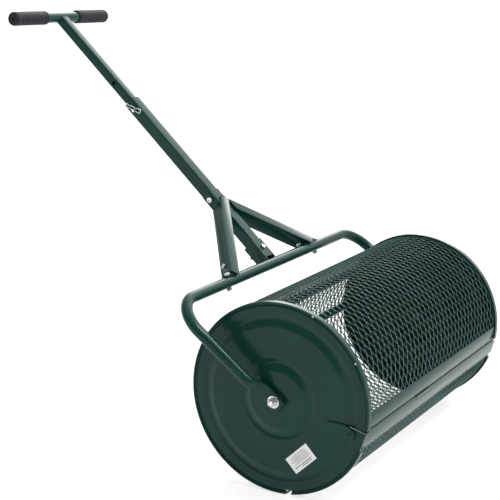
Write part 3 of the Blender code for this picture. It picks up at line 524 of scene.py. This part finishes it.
def build_disc(name, side):
    outer = smooth_profile(DISC_FACE)
    inner = list(RIM_INSIDE) + [(r, h - DISC_SHEET) for r, h in reversed(outer) if r < SHEET_END]
    rim_plane = outward(side, side * RIM_X)
    mesh = turned_mesh(name + "_disc_looks", outer + inner, DISC_TURNS, rim_plane)
    piece = add_piece(name + "_disc_looks", mesh, name + "_disc")
    angle = LATCH_BAR_ANGLE + LATCH_NOTCH_TURN
    cut_notch(piece, side, "notch", angle, LATCH_NOTCH_BOTTOM, LATCH_NOTCH_HALF)
    angle = HINGE_ANGLE + HINGE_NOTCH_TURN
    cut_notch(piece, side, "hinge_notch", angle, HINGE_NOTCH_BOTTOM, HINGE_NOTCH_HALF)
    # Faces turned into the drum take the darker green: painted shade.
    mark_faces(piece, SHADE_INSIDE_GREEN, lambda face: face.normal.x * side < -0.3)
    shade(piece.data)
    for number, angle in enumerate(RIM_WELD_ANGLES, 1):
        seat = rim_plane.copy()
        seat.translation += Vector((0, *polar(RIM_WELD_RADIUS, angle)))
        weld = turned_mesh(f"{name}_rim_weld_{number}", RIM_WELD, 16, seat)
        add_piece(f"{name}_rim_weld_{number}", weld, name + "_disc", BARE_STEEL_AND_HIGHLIGHT, replaces=False)


# Yoke tube.


YOKE_HALF_WIDTH = 0.3670  # 0.5 mm less than the CAD's, which keeps the round tube inside its box
YOKE_SIDES = 40
BEND_STEPS, LEG_STEPS, FLATTEN_STEPS = 16, 6, 10
LEG_BOW = 0.0006
FLATTEN_LENGTH = 0.036  # of leg, over which the tube turns into the plate
FLAT_AT_LEG = 0.03
PLATE_SQUARING = 0.72  # how far the round section turns square when it is flat
CREASE_DEPTH, CREASE_WIDTH = 0.0009, 0.005
END_CHAMFER = 0.0009


def yoke_path():
    """Half of the yoke's centre line as (x, reach, flatness), from its middle to its plate's end."""
    plate_x = RIM_X + PLATE_INNER + PLATE_THICKNESS / 2
    points = [(x, YOKE_REACH, 0.0) for x in (0.0, 0.08, 0.16, 0.24)]
    centre_x, centre_reach = YOKE_HALF_WIDTH - YOKE_BEND, YOKE_REACH - YOKE_BEND
    for i in range(BEND_STEPS + 1):
        angle = math.pi / 2 * (1 - i / BEND_STEPS)
        x, reach = centre_x + YOKE_BEND * math.cos(angle), centre_reach + YOKE_BEND * math.sin(angle)
        points.append((x, reach, 0.0))
    top, low = Vector((YOKE_HALF_WIDTH, centre_reach)), Vector((LEG_LOW_X, LEG_LOW_REACH))
    for i in range(1, LEG_STEPS):
        share = i / LEG_STEPS
        point = top.lerp(low, share)
        points.append((point.x - LEG_BOW * math.sin(share * math.pi), point.y, 0.0))
    for i in range(FLATTEN_STEPS + 1):
        share = i / FLATTEN_STEPS
        ease = (1 - math.cos(share * math.pi)) / 2
        x = LEG_LOW_X + (plate_x - LEG_LOW_X) * ease
        points.append((x, LEG_LOW_REACH - FLATTEN_LENGTH * share, FLAT_AT_LEG + (1 - FLAT_AT_LEG) * ease))
    for reach in (0.016, 0.008, 0.0, -0.008, PLATE_END + 0.002, PLATE_END):
        points.append((plate_x, reach, 1.0))
    return points


def yoke_section(flatness, narrow):
    """The tube's outline: round at flatness 0, a creased flat bar at 1."""
    thin = YOKE_RADIUS + (PLATE_THICKNESS / 2 - YOKE_RADIUS) * flatness
    wide = YOKE_RADIUS + (PLATE_WIDTH / 2 - YOKE_RADIUS) * flatness - narrow
    power = 1 - PLATE_SQUARING * flatness
    crease = CREASE_DEPTH * math.sin(math.pi * min(1.0, flatness)) ** 2
    points = []
    for i in range(YOKE_SIDES):
        angle = 2 * math.pi * (i + 0.5) / YOKE_SIDES
        c, s = math.cos(angle), math.sin(angle)
        across = thin * math.copysign(abs(c) ** power, c)
        along = wide * math.copysign(abs(s) ** power, s)
        dip = crease * math.exp(-((along / CREASE_WIDTH) ** 2))
        points.append((across - math.copysign(dip, across), along))
    return points


def build_yoke():
    half = yoke_path()
    path = [(-x, reach, flat) for x, reach, flat in reversed(half[1:])] + half
    last = len(path) - 1
    rings = []
    for i, (x, reach, flat) in enumerate(path):
        before, after = path[max(i - 1, 0)], path[min(i + 1, last)]
        along = Vector((after[0] - before[0], after[1] - before[1], 0)).normalized()
        across = Vector((along.y, -along.x, 0))
        section = yoke_section(flat, END_CHAMFER if i in (0, last) else 0.0)
        rings.append([Vector((x, reach, 0)) + across * a + Vector((0, 0, n)) for a, n in section])
    add_piece("yoke_tube_looks", loft_mesh("yoke_tube_looks", rings, matrix=YOKE_FRAME), "yoke_tube")


# Fasteners.


# A fastener's proportions, all over its shank's radius.
HEX_ACROSS, WIDE_NUT_ACROSS = 1.85, 2.4  # corner radius; the wide nuts are below the yoke tube
HEAD_HEIGHT, NUT_HEIGHT = 1.3, 1.6
THREAD_PITCH, THREAD_TOP, THREAD_ROOT, THREAD_LEAD = 0.22, 0.97, 0.88, 0.25
THREAD_LENGTH, PLAIN_LENGTH = 4.5, 1.2

AXLE_BOLT_LENGTH, APEX_BOLT_LENGTH, BRACKET_BOLT_LENGTH = 0.0415, 0.0440, 0.0400
LUG_BOLT_LENGTH, BRACE_BOLT_LENGTH = 0.0322, 0.0270
AXLE_HEAD_IN, AXLE_NUT_OUT = 0.0063, 0.0235  # from the rim plane
BRACKET_HEAD_UP, BRACKET_NUT_DOWN = 0.0133, 0.0161  # off the handle's axis
TIP_RADIUS = 0.0002


def hex_radius(across_corners, angle):
    local = (angle + math.pi / 6) % (math.pi / 3) - math.pi / 6
    return across_corners * math.cos(math.pi / 6) / math.cos(local)


def hex_rings(across_corners, heights, steps=48):
    """Rings of a hexagon, each with its corners turned off at its own radius."""
    rings = []
    for height, limit in heights:
        ring = []
        for i in range(steps):
            angle = 2 * math.pi * (i + 0.5) / steps
            radius = min(hex_radius(across_corners, angle + math.pi / 6), limit)
            ring.append((radius * math.cos(angle), radius * math.sin(angle), height))
        rings.append(ring)
    return rings


def round_ring(radius, height, steps=48):
    angles = [2 * math.pi * (i + 0.5) / steps for i in range(steps)]
    return [(radius * math.cos(a), radius * math.sin(a), height) for a in angles]


def bolt_mesh(shank, length, matrix):
    """A hexagon bolt: chamfered head over a washer face, threaded shank down -Z."""
    head, height = shank * HEX_ACROSS, shank * HEAD_HEIGHT
    washer_face = head * math.cos(math.pi / 6) * 0.98
    pitch, top, root = shank * THREAD_PITCH, shank * THREAD_TOP, shank * THREAD_ROOT
    at = -length + shank * THREAD_LEAD
    rings = [round_ring(TIP_RADIUS, -length), round_ring(shank * 0.80, -length), round_ring(top, at)]
    for _ in range(int(min(length - shank * PLAIN_LENGTH, shank * THREAD_LENGTH) / pitch)):
        rings.append(round_ring(root, at + pitch * 0.5))
        rings.append(round_ring(top, at + pitch))
        at += pitch
    rings.append(round_ring(shank, min(at + pitch, -0.0004)))
    rings.append(round_ring(shank, -0.00001))
    rings.append(round_ring(washer_face, 0.0))
    rings.append(round_ring(washer_face, height * 0.08))
    rings += hex_rings(head, [(height * 0.09, head), (height * 0.62, head), (height * 0.80, head * 0.965)])
    rings += hex_rings(head, [(height * 0.93, head * 0.90), (height, head * 0.80)])
    rings.append(round_ring(head * 0.50, height))
    rings.append(round_ring(head * 0.46, height * 0.97))
    rings.append(round_ring(TIP_RADIUS, height * 0.96))
    return loft_mesh("bolt", rings, matrix=matrix)


def nut_mesh(shank, matrix, across):
    """A locking nut: hexagon with a domed collar, its seat at the origin, its body down -Z."""
    outer, inner, height = shank * across, shank + FIT_GAP, shank * NUT_HEIGHT
    seat = [(0.0, outer * 0.90), (-height * 0.08, outer * 0.985), (-height * 0.16, outer)]
    collar = [(-height * 0.62, outer), (-height * 0.72, outer * 0.93), (-height * 0.76, outer * 0.84)]
    rings = hex_rings(outer, seat + collar)
    rings += [round_ring(outer * 0.76, -height * 0.80), round_ring(outer * 0.74, -height * 0.93)]
    rings += [round_ring(outer * 0.66, -height), round_ring(inner * 1.08, -height)]
    rings += [round_ring(inner, -height * 0.97), round_ring(inner, -height * 0.03)]
    rings.append(round_ring(inner * 1.06, 0.0))
    return loft_mesh("nut", rings, closed_along=True, matrix=matrix)


def add_bolt(node, shank, length, frame_matrix, location, turn):
    place = frame_matrix @ Matrix.Translation(location) @ turn.to_matrix().to_4x4()
    return add_piece(node + "_looks", bolt_mesh(shank, length, place), node)


def add_nut(node, shank, frame_matrix, location, turn, across=HEX_ACROSS):
    place = frame_matrix @ Matrix.Translation(location) @ turn.to_matrix().to_4x4()
    return add_piece(node + "_looks", nut_mesh(shank, place, across), node)


def build_axle(name, side):
    turn = Euler((0, -side * math.pi / 2, 0))
    head_at, nut_at = side * (RIM_X - AXLE_HEAD_IN), side * (RIM_X + AXLE_NUT_OUT)
    piece = add_bolt(name + "_axle_bolt", AXLE_BOLT, AXLE_BOLT_LENGTH, AXLE_FRAME, (head_at, 0, 0), turn)
    # The head, inside the drum, is painted over with the disc.
    mark_faces(piece, GREEN, lambda face: abs(face.center.x) < RIM_X - 0.0040)
    add_nut(name + "_axle_nut", AXLE_BOLT, AXLE_FRAME, (nut_at, 0, 0), turn)
    refined(name + "_axle_washer", 0.0003)
    refined(name + "_axle_spacer", 0.0003)
    refined(name + "_bush", 0.0004)


def build_brace_fasteners(name, side):
    """The lug's bolt through the yoke tube, and the brace's bolt through the lug."""
    up = Vector((0, math.sin(math.pi / 4), math.cos(math.pi / 4)))
    tilt = Euler((-math.pi / 4, 0, 0))
    centre = Vector((side * LUG_X, YOKE_REACH, 0))
    head_at = centre + up * LUG_SEAT
    add_bolt(name + "_lug_bolt", SMALL_BOLT, LUG_BOLT_LENGTH, YOKE_FRAME, head_at, tilt)
    nut_at = centre - up * (YOKE_RADIUS + FIT_GAP)
    add_nut(name + "_lug_nut", SMALL_BOLT, YOKE_FRAME, nut_at, tilt, WIDE_NUT_ACROSS)
    head, foot = (Vector((side * x, reach)) for x, reach in (BRACE_HEAD, BRACE_FOOT))
    along = (foot - head).normalized()
    inward = Vector((along.y * side, -along.x * side))
    if inward.y > 0:
        inward = -inward
    centre = (foot - along * BRACE_BOLT_AT + inward * BRACE_WIDTH / 2).to_3d()
    seat = -inward.to_3d() * (BRACE_WIDTH / 2 + FIT_GAP)
    spin = Vector((0, 0, 1)).rotation_difference(seat).to_euler()
    add_bolt(name + "_brace_bolt", SMALL_BOLT, BRACE_BOLT_LENGTH, YOKE_FRAME, centre + seat, spin)
    add_nut(name + "_brace_nut", SMALL_BOLT, YOKE_FRAME, centre - seat, spin)


def build_fasteners():
    for name, side in SIDES:
        build_axle(name, side)
    reach = OUTER_TUBE / 2 + BRACKET_WALL + 2 * FIT_GAP
    turn = Euler((0, -math.pi / 2, 0))
    add_bolt("apex_bolt", APEX_BOLT, APEX_BOLT_LENGTH, HANDLE_FRAME, (-reach, APEX_BOLT_AT, 0), turn)
    add_nut("apex_nut", APEX_BOLT, HANDLE_FRAME, (reach, APEX_BOLT_AT, 0), turn)
    upright = Euler((0, 0, 0))
    head_at, nut_at = (0, BRACKET_BOLT_AT, BRACKET_HEAD_UP), (0, BRACKET_BOLT_AT, -BRACKET_NUT_DOWN)
    add_bolt("bracket_bolt", SMALL_BOLT, BRACKET_BOLT_LENGTH, HANDLE_FRAME, head_at, upright)
    add_nut("bracket_nut", SMALL_BOLT, HANDLE_FRAME, nut_at, upright)
    for name, side in SIDES:
        build_brace_fasteners(name, side)


# Handle.


def rounded_square(size, corner, along, steps=6):
    points = []
    half = size / 2 - corner
    for quarter, (x, z) in enumerate(((half, half), (half, -half), (-half, -half), (-half, half))):
        for i in range(steps + 1):
            angle = math.pi / 2 * (1 - quarter - i / steps)
            points.append((x + corner * math.cos(angle), along, z + corner * math.sin(angle)))
    return points


TUBE_CORNER, BORE_CORNER, TUBE_LIP = 0.0025, 0.0012, 0.0003
HOLE_REACH = 0.03  # a drilled hole's half length, past both walls
SADDLE_GAP = 0.0002  # between the upper tube's end and the cross bar
BEAD_RADIUS, BEAD_STEP, BEAD_SIDES = 0.0013, 0.0007, 8
BEAD_RIPPLE, BEAD_RIPPLE_STEPS = 0.16, 4.0


def square_tube_mesh(name, size, start, end, matrix):
    bore = size - 2 * TUBE_WALL
    rings = []
    for width, along in ((-TUBE_LIP, 0.0), (0.0, TUBE_LIP)):
        rings.append(rounded_square(size + 2 * width, TUBE_CORNER, start + along))
    for width, along in ((0.0, -TUBE_LIP), (-TUBE_LIP, 0.0)):
        rings.append(rounded_square(size + 2 * width, TUBE_CORNER, end + along))
    rings += [rounded_square(bore, BORE_CORNER, end), rounded_square(bore, BORE_CORNER, start)]
    return loft_mesh(name, rings, closed_along=True, matrix=matrix)


def drill(piece, frame_matrix, at, radius, turn):
    """A hole through a handle tube at that distance along it."""
    matrix = frame_matrix @ Matrix.Translation((0, at, 0)) @ turn
    cut(piece, cylinder_mesh("hole", radius, -HOLE_REACH, HOLE_REACH, 32, matrix))


def build_handle():
    mesh = square_tube_mesh("upper_tube", INNER_TUBE, INNER_START, T_BAR_AT, TWIST_FRAME)
    piece = add_piece("upper_handle_tube_looks", mesh, "upper_handle_tube")
    seat = TWIST_FRAME @ Matrix.Translation((0, T_BAR_AT, 0)) @ ACROSS
    cut(piece, cylinder_mesh("saddle", T_BAR_RADIUS + SADDLE_GAP, -0.05, 0.05, 64, seat))
    for i in (-1, 0, 1):  # separate holes, where the CAD model has one slot
        drill(piece, TWIST_FRAME, PIN_AT + i * HOLE_PITCH, PIN_RADIUS + 0.0008, ACROSS)
    shade(piece.data)

    mesh = square_tube_mesh("lower_tube", OUTER_TUBE, OUTER_START, OUTER_END, HANDLE_FRAME)
    piece = add_piece("lower_handle_tube_looks", mesh, "lower_handle_tube")
    drill(piece, HANDLE_FRAME, PIN_AT, PIN_RADIUS + 0.0005, ACROSS)
    drill(piece, HANDLE_FRAME, APEX_BOLT_AT, APEX_BOLT + FIT_GAP, ACROSS)
    drill(piece, HANDLE_FRAME, BRACKET_BOLT_AT, SMALL_BOLT + FIT_GAP, Matrix())
    shade(piece.data)

    bore, edge, lip = T_BAR_RADIUS - T_BAR_WALL, T_BAR_RADIUS - 0.0003, 0.0003
    bar = [(bore, -T_BAR_HALF), (edge, -T_BAR_HALF), (T_BAR_RADIUS, -T_BAR_HALF + lip)]
    bar += [(T_BAR_RADIUS, T_BAR_HALF - lip), (edge, T_BAR_HALF), (bore, T_BAR_HALF)]
    add_piece("t_bar_looks", turned_mesh("t_bar", bar, 64, seat), "t_bar")
    build_weld("handle_weld", "upper_handle_tube", weld_path_square())
    for name, side in SIDES:
        build_grip(name, side)


def weld_path_square():
    """Points round the joint between the upper tube and the cross bar."""
    points = []
    half, count = INNER_TUBE / 2, 48
    for i in range(count):
        angle = 2 * math.pi * i / count
        x = half * max(-1, min(1, 1.25 * math.cos(angle)))
        z = half * max(-1, min(1, 1.25 * math.sin(angle)))
        drop = math.sqrt(max(0.0, (T_BAR_RADIUS + SADDLE_GAP) ** 2 - z * z))
        points.append(TWIST_FRAME @ Vector((x, T_BAR_AT - drop - 0.0004, z)))
    return points


def build_weld(name, node, points):
    """A rippled weld bead along a closed run of points."""
    count = len(points)
    length = sum((points[(i + 1) % count] - points[i]).length for i in range(count))
    total = max(count, int(length / BEAD_STEP))
    dense = []
    for k in range(total):
        at = k / total * count
        i = int(at) % count
        dense.append(points[i].lerp(points[(i + 1) % count], at - int(at)))
    middle = sum(points, Vector()) / count
    rings = []
    for k, here in enumerate(dense):
        along = (dense[(k + 1) % total] - dense[k - 1]).normalized()
        out = (here - middle).cross(along).normalized()
        other = along.cross(out).normalized()
        size = BEAD_RADIUS * (1.0 + BEAD_RIPPLE * math.sin(k * 2 * math.pi / BEAD_RIPPLE_STEPS))
        ring = []
        for j in range(BEAD_SIDES):
            angle = 2 * math.pi * j / BEAD_SIDES
            ring.append(here + (out * math.cos(angle) + other * math.sin(angle)) * size)
        rings.append(ring)
    add_piece(name, loft_mesh(name, rings, closed_along=True), node, replaces=False)


GRIP_STEPS, GRIP_SIDES = 120, 48
GRIP_WAVES, WAVE_DEPTH, WAVE_START, WAVE_SHARE = 8, 0.0018, 0.12, 0.80
GROOVE_DEPTH, GROOVE_PITCH = 0.00010, 0.0022
COLLAR_EDGE, COLLAR_END, COLLAR_GROOVE_END = 0.020, 0.075, 0.095  # shares of the grip's length
DOME_START = 0.955


def grip_radius(t):
    """The grip's plain outline, t from its collar to its domed end."""
    radius = GRIP_RADIUS - 0.0006
    if t < COLLAR_EDGE:
        radius -= 0.0024 * (1 - t / COLLAR_EDGE) ** 2
    elif t < COLLAR_END:
        radius -= 0.0002
    elif t < COLLAR_GROOVE_END:
        radius -= 0.0009
    if t > DOME_START:
        edge = (t - DOME_START) / (1 - DOME_START)
        radius -= 0.0036 * (1 - math.sqrt(max(0.0, 1 - edge * edge)))
    return radius


def grip_relief(t, under):
    """Depth of the finger waves and fine grooves; `under` is 1 on the finger side."""
    depth = 0.0
    share = (t - WAVE_START) / WAVE_SHARE
    if 0 < share < 1:
        ripple = 0.5 - 0.5 * math.cos(share * GRIP_WAVES * 2 * math.pi)
        depth += WAVE_DEPTH * under * ripple * math.sin(math.pi * share) ** 0.25
    if 0.10 < t < 0.94:
        at = t * (GRIP_END - GRIP_START) / GROOVE_PITCH
        depth += GROOVE_DEPTH * (0.5 + 0.5 * math.cos(at * 2 * math.pi)) * (1 - under)
    return depth


def build_grip(name, side):
    """A moulded grip: a collar at its inner end, shallow finger waves below, a domed end with a vent."""
    rings = []
    for i in range(GRIP_STEPS + 1):
        t = i / GRIP_STEPS
        ring = []
        for j in range(GRIP_SIDES):
            angle = 2 * math.pi * j / GRIP_SIDES
            under = max(0.0, math.cos(angle - side * math.pi)) ** 2.2
            radius = grip_radius(t) - grip_relief(t, under)
            along = GRIP_START + (GRIP_END - GRIP_START) * t
            ring.append((radius * math.sin(angle), radius * math.cos(angle), along))
        rings.append(ring)
    vent, bore = 0.0025, T_BAR_RADIUS + FIT_GAP
    inside = [(0.0080, GRIP_END), (0.0036, GRIP_END), (0.0030, GRIP_END - 0.0004), (vent, GRIP_END - 0.0012)]
    inside += [(vent, T_BAR_HALF + FIT_GAP), (bore, T_BAR_HALF + FIT_GAP), (bore, GRIP_START)]
    rings += [round_ring(radius, height, GRIP_SIDES) for radius, height in inside]
    rings = [fix_ring(ring) for ring in rings]
    matrix = TWIST_FRAME @ Matrix.Translation((0, T_BAR_AT, 0)) @ Matrix.Rotation(side * math.pi / 2, 4, "Y")
    mesh = loft_mesh(name + "_grip", rings, closed_along=True, matrix=matrix)
    add_piece(name + "_grip_looks", mesh, name + "_grip")


def fix_ring(ring):
    """Starts a ring at the same angle whichever way it was made."""
    first = min(range(len(ring)), key=lambda i: abs(math.atan2(ring[i][1], ring[i][0])))
    turned = ring[first:] + ring[:first]
    area = turned[0][0] * turned[1][1] - turned[1][0] * turned[0][1]
    return turned if area > 0 else [turned[0]] + list(reversed(turned[1:]))


CLIP_X = -0.0185  # beside the outer tube, on the pin
CLIP_WIRE = 0.00105
CLIP_SWING, CLIP_SIZE = math.radians(-22), 1.12  # the clip hangs a little across the handle
CLIP_BOW_AT, CLIP_BOW_RADIUS, CLIP_BOW_STEPS = -0.0110, 0.0036, 12


def clip_path():
    """The clip's wire as (along the handle, off the pin): straight leg, bow, and the waved leg."""
    points = [(0.0205, 0.0), (0.0100, 0.0), (0.0, 0.0), (CLIP_BOW_AT, 0.0)]
    for i in range(1, CLIP_BOW_STEPS + 1):
        angle = -math.pi / 2 - i * math.pi / CLIP_BOW_STEPS
        along = CLIP_BOW_AT + CLIP_BOW_RADIUS * math.cos(angle)
        points.append((along, CLIP_BOW_RADIUS * (1 + math.sin(angle))))
    points += [(-0.0070, 0.0073), (-0.0045, 0.0060), (-0.0020, 0.0052), (0.0010, 0.0051)]
    points += [(0.0040, 0.0060), (0.0070, 0.0066), (0.0110, 0.0050), (0.0150, 0.0042), (0.0190, 0.0058)]
    return points


def build_pin():
    refined("locking_pin", 0.0007, 3)
    points = clip_path()
    data = bpy.data.curves.new("hairpin_clip_looks", "CURVE")
    data.dimensions = "3D"
    data.bevel_depth = CLIP_WIRE
    data.bevel_resolution = 5
    data.use_fill_caps = True
    spline = data.splines.new("NURBS")
    spline.points.add(len(points) - 1)
    spline.use_endpoint_u = True
    spline.order_u = 4
    spline.resolution_u = 6
    for target, (along, off) in zip(spline.points, points):
        swung = Matrix.Rotation(CLIP_SWING, 4, "X") @ Vector((0, along, off)) * CLIP_SIZE
        place = HANDLE_FRAME @ Vector((CLIP_X, PIN_AT + swung.y, swung.z))
        target.co = (*place, 1)
    clip = bpy.data.objects.new("hairpin_clip_looks", data)
    bpy.context.scene.collection.objects.link(clip)
    data.materials.append(ZINC)
    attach(clip, "locking_pin")
    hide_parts("hairpin_clip")


# Sticker with plain grey bars in place of print.


LABEL_LENGTH, LABEL_HEIGHT, LABEL_TURN = 0.0560, 0.0330, math.radians(-43.4)
PAPER_THICKNESS, PAPER_LIFT, CORNER_LIFT = 0.00010, 0.00012, 0.00008
BAR_SPECS = (  # (height on the label, length, shift along the label, width)
    (0.0115, 0.030, -0.001, 0.0008),
    (0.0085, 0.040, 0.0, 0.0008),
    (0.0055, 0.036, -0.002, 0.0008),
    (0.0025, 0.042, 0.001, 0.0008),
    (-0.0005, 0.034, -0.003, 0.0008),
    (-0.0035, 0.040, 0.0, 0.0008),
    (-0.0085, 0.044, 0.001, 0.0014),
    (-0.0120, 0.026, -0.006, 0.0014),
)


def build_label():
    low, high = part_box("blank_label")
    low, high = Vector(low), Vector(high)
    centre = (low + high) / 2
    turn = Matrix.Rotation(LABEL_TURN, 4, "X")
    place = Matrix.Translation((low.x, centre.y, centre.z)) @ turn

    def sheet(bm):
        bmesh.ops.create_grid(bm, x_segments=8, y_segments=6, size=0.5)
        bmesh.ops.scale(bm, vec=(LABEL_LENGTH, LABEL_HEIGHT, 1), verts=bm.verts)
        for v in bm.verts:
            lift = PAPER_LIFT - CORNER_LIFT * abs(v.co.x / (LABEL_LENGTH / 2)) ** 3
            v.co = Vector((lift, v.co.x, v.co.y))
        extruded = bmesh.ops.extrude_face_region(bm, geom=list(bm.faces))
        moved = [g for g in extruded["geom"] if isinstance(g, bmesh.types.BMVert)]
        bmesh.ops.translate(bm, vec=(PAPER_THICKNESS, 0, 0), verts=moved)
        bmesh.ops.recalc_face_normals(bm, faces=bm.faces)

    def bars(bm):
        for height, length, shift, width in BAR_SPECS:
            made = bmesh.ops.create_cube(bm, size=1.0)
            bmesh.ops.scale(bm, vec=(0.00006, length, width), verts=made["verts"])
            bmesh.ops.translate(bm, vec=(0.00001, shift, height), verts=made["verts"])

    add_piece("blank_label_looks", mesh_of("label", sheet, place), "blank_label", smooth=False)
    mesh = mesh_of("label_bars", bars, place)
    add_piece("label_bars", mesh, "blank_label", PRINT, smooth=False, replaces=False)


# Everything that only needs rounded edges.


def build_plain():
    for node in ("centre_bracket", "left_brace", "right_brace", "left_lug", "right_lug"):
        refined(node, 0.0007)
    for node in ("front_edge_bar", "back_bar", "back_strap", "hinge_edge_bar", "door_hinge_bar"):
        refined(node, 0.0005)
    latch_bar = refined("door_latch_bar", 0.0003)
    turn = math.radians(LATCH_BAR_ANGLE)
    up = Vector((0, math.sin(turn), -math.cos(turn)))
    ear_x = RIM_X + 0.0040
    # The upper edges of its bent ends get light bare steel: a painted highlight where they catch the light.
    mark_faces(latch_bar, BARE_STEEL_AND_HIGHLIGHT, lambda face: abs(face.center.x) > ear_x and face.normal.dot(up) > 0.9)
    for node in ("door_finger_lip", "left_latch", "right_latch"):
        refined(node, 0.0004)
    for node in ("left_latch_rivet", "right_latch_rivet"):
        refined(node, 0.0003)
    refined("hinge_rod", 0.0003, material=GREEN)  # painted over with the door


BAND_THICKNESS, BAND_EDGE, BAND_ROLL, BAND_STEP = 0.0012, 0.0006, 0.0004, 1.5
DOOR_BAND_PAST = 5.5  # degrees past the door's hinge bar


def build_band(node, start, end, low_x, high_x):
    """A thin strip bent round the drum's end, its edges rounded and its outer edge rolled slightly in."""
    steps = max(8, int((end - start) / BAND_STEP))
    width, inside = high_x - low_x, -BAND_THICKNESS + 0.0002
    section = [(0.0, -BAND_ROLL), (BAND_EDGE, 0.0), (width - BAND_EDGE, 0.0), (width, -BAND_ROLL)]
    section += [(width, inside), (0.0, inside)]
    rings = []
    for i in range(steps + 1):
        angle = start + (end - start) * i / steps
        rings.append([AXLE + Vector((low_x + x, *polar(MESH_RADIUS + r, angle))) for x, r in section])
    add_piece(node + "_looks", loft_mesh(node, rings), node)


def half_angle(width):
    return math.degrees(math.asin(width / 2 / BAR_OUTER))


def build_drum():
    """Discs, end bands and mesh panels. An angle past the back bar starts again from 0."""
    front, latch, small = (half_angle(w) for w in (FRONT_BAR_WIDTH, LATCH_BAR_WIDTH, SMALL_BAR_WIDTH))
    door_start = LATCH_BAR_ANGLE + latch + BAR_GAP_ANGLE
    door_end = DOOR_HINGE_BAR_ANGLE - small - BAR_GAP_ANGLE
    for name, side in SIDES:
        build_disc(name, side)
        low, high = sorted((side * BAND_START, side * BAND_END))
        cage_start, cage_end = FIXED_HINGE_BAR_ANGLE - small - 360, FRONT_BAR_ANGLE + front
        build_band(name + "_end_band", cage_start, cage_end, low, high)
        build_band(f"door_{name}_band", door_start, door_end + DOOR_BAND_PAST, low, high)
    panels = (
        ("upper_mesh", BACK_BAR_ANGLE + small - 360 + BAR_GAP_ANGLE, FRONT_BAR_ANGLE - front - BAR_GAP_ANGLE),
        ("rear_mesh", FIXED_HINGE_BAR_ANGLE + small + BAR_GAP_ANGLE, BACK_BAR_ANGLE - small - BAR_GAP_ANGLE),
        ("door_mesh", door_start, door_end),
    )
    for node, start, end in panels:
        expanded_mesh(node, -CAGE_END, CAGE_END, start, end)


build_yoke()
build_fasteners()
build_handle()
build_pin()
build_label()
build_plain()
build_drum()


# Stage: pale floor, soft light, camera.

FLOOR_HALF, FLOOR_Z, FLOOR_GLOW = 40, -0.0005, 0.74
ROOM_GLOW = ((1.0, 0.0, 0.0), 1.0, -1.0, 0.22, 1.0)  # direction, near, far, low, high
LARGE_GLOW = ((0.86, 0.30, 0.42), 0.985, 0.93, 0.0, 4.0)
SMALL_GLOW = ((0.80, -0.10, 0.55), 0.97, 0.86, 0.0, 0.9)
SUNS = (  # name, direction it shines from, strength, spread in degrees
    ("overhead", (0.30, -0.25, 1.0), 1.0, 90),
    ("front", (0.24, -0.49, 0.84), 1.1, 14),
    ("glint", (-0.10, -0.50, 0.86), 0.55, 3),
)
CAMERA_OFFSET = Vector((-2.35428, -1.11131, 0.81810))  # from the axle
CAMERA_DOWN, CAMERA_TURN, CAMERA_LENS = math.radians(13.188), math.radians(299.913), 97.854


def build_floor():
    def sheet(bm):
        bmesh.ops.create_grid(bm, x_segments=1, y_segments=1, size=FLOOR_HALF)

    mesh = mesh_of("floor", sheet)
    floor = bpy.data.objects.new("floor", mesh)
    bpy.context.scene.collection.objects.link(floor)
    floor.location.z = FLOOR_Z
    graph = Graph("floor_paper")
    tone = graph.ramp(graph.noise(scale=1.5), ((0.3, (0.36, 0.36, 0.36)), (0.7, (0.38, 0.38, 0.38))))
    glow = {"Emission_Color": (1.0, 1.0, 1.0, 1.0), "Emission_Strength": FLOOR_GLOW}
    mesh.materials.append(graph.finish(tone, Roughness=0.95, Specular_IOR_Level=0.0, **glow))


def add_sun(name, direction, strength, spread):
    data = bpy.data.lights.new(name, "SUN")
    data.energy = strength
    data.angle = math.radians(spread)
    lamp = bpy.data.objects.new(name, data)
    bpy.context.scene.collection.objects.link(lamp)
    lamp.rotation_euler = Vector(direction).to_track_quat("Z", "Y").to_euler()


def build_light():
    """An even bright room, dimmer on the drum's left, with two soft panels high on its right."""
    world = bpy.data.worlds.new("studio")
    bpy.context.scene.world = world
    world.use_nodes = True
    tree = world.node_tree
    background = tree.nodes["Background"]
    background.inputs["Color"].default_value = (1.0, 1.0, 1.0, 1.0)
    where = tree.nodes.new("ShaderNodeTexCoord").outputs["Generated"]

    def glow(direction, near, far, low, high):
        """Brightness from low to high as a direction's cosine to the glow's goes from far to near."""
        toward = tree.nodes.new("ShaderNodeVectorMath")
        toward.operation = "DOT_PRODUCT"
        toward.inputs[1].default_value = Vector(direction).normalized()
        tree.links.new(where, toward.inputs[0])
        ramp = tree.nodes.new("ShaderNodeMapRange")
        ramp.interpolation_type = "SMOOTHSTEP"
        for socket, value in (("From Min", far), ("From Max", near), ("To Min", low), ("To Max", high)):
            ramp.inputs[socket].default_value = value
        tree.links.new(toward.outputs["Value"], ramp.inputs["Value"])
        return ramp.outputs["Result"]

    total = None
    for values in (ROOM_GLOW, LARGE_GLOW, SMALL_GLOW):
        result = glow(*values)
        if total is not None:
            add = tree.nodes.new("ShaderNodeMath")
            tree.links.new(total, add.inputs[0])
            tree.links.new(result, add.inputs[1])
            result = add.outputs["Value"]
        total = result
    tree.links.new(total, background.inputs["Strength"])
    for values in SUNS:
        add_sun(*values)


def build_camera():
    data = bpy.data.cameras.new("camera")
    data.sensor_width = 36.0
    data.lens = CAMERA_LENS
    data.clip_end = 200.0
    camera = bpy.data.objects.new("camera", data)
    bpy.context.scene.collection.objects.link(camera)
    camera.location = AXLE + CAMERA_OFFSET
    camera.rotation_euler = (math.pi / 2 - CAMERA_DOWN, 0, CAMERA_TURN)
    bpy.context.scene.camera = camera


build_floor()
build_light()
build_camera()
bpy.context.scene.view_settings.view_transform = "Standard"
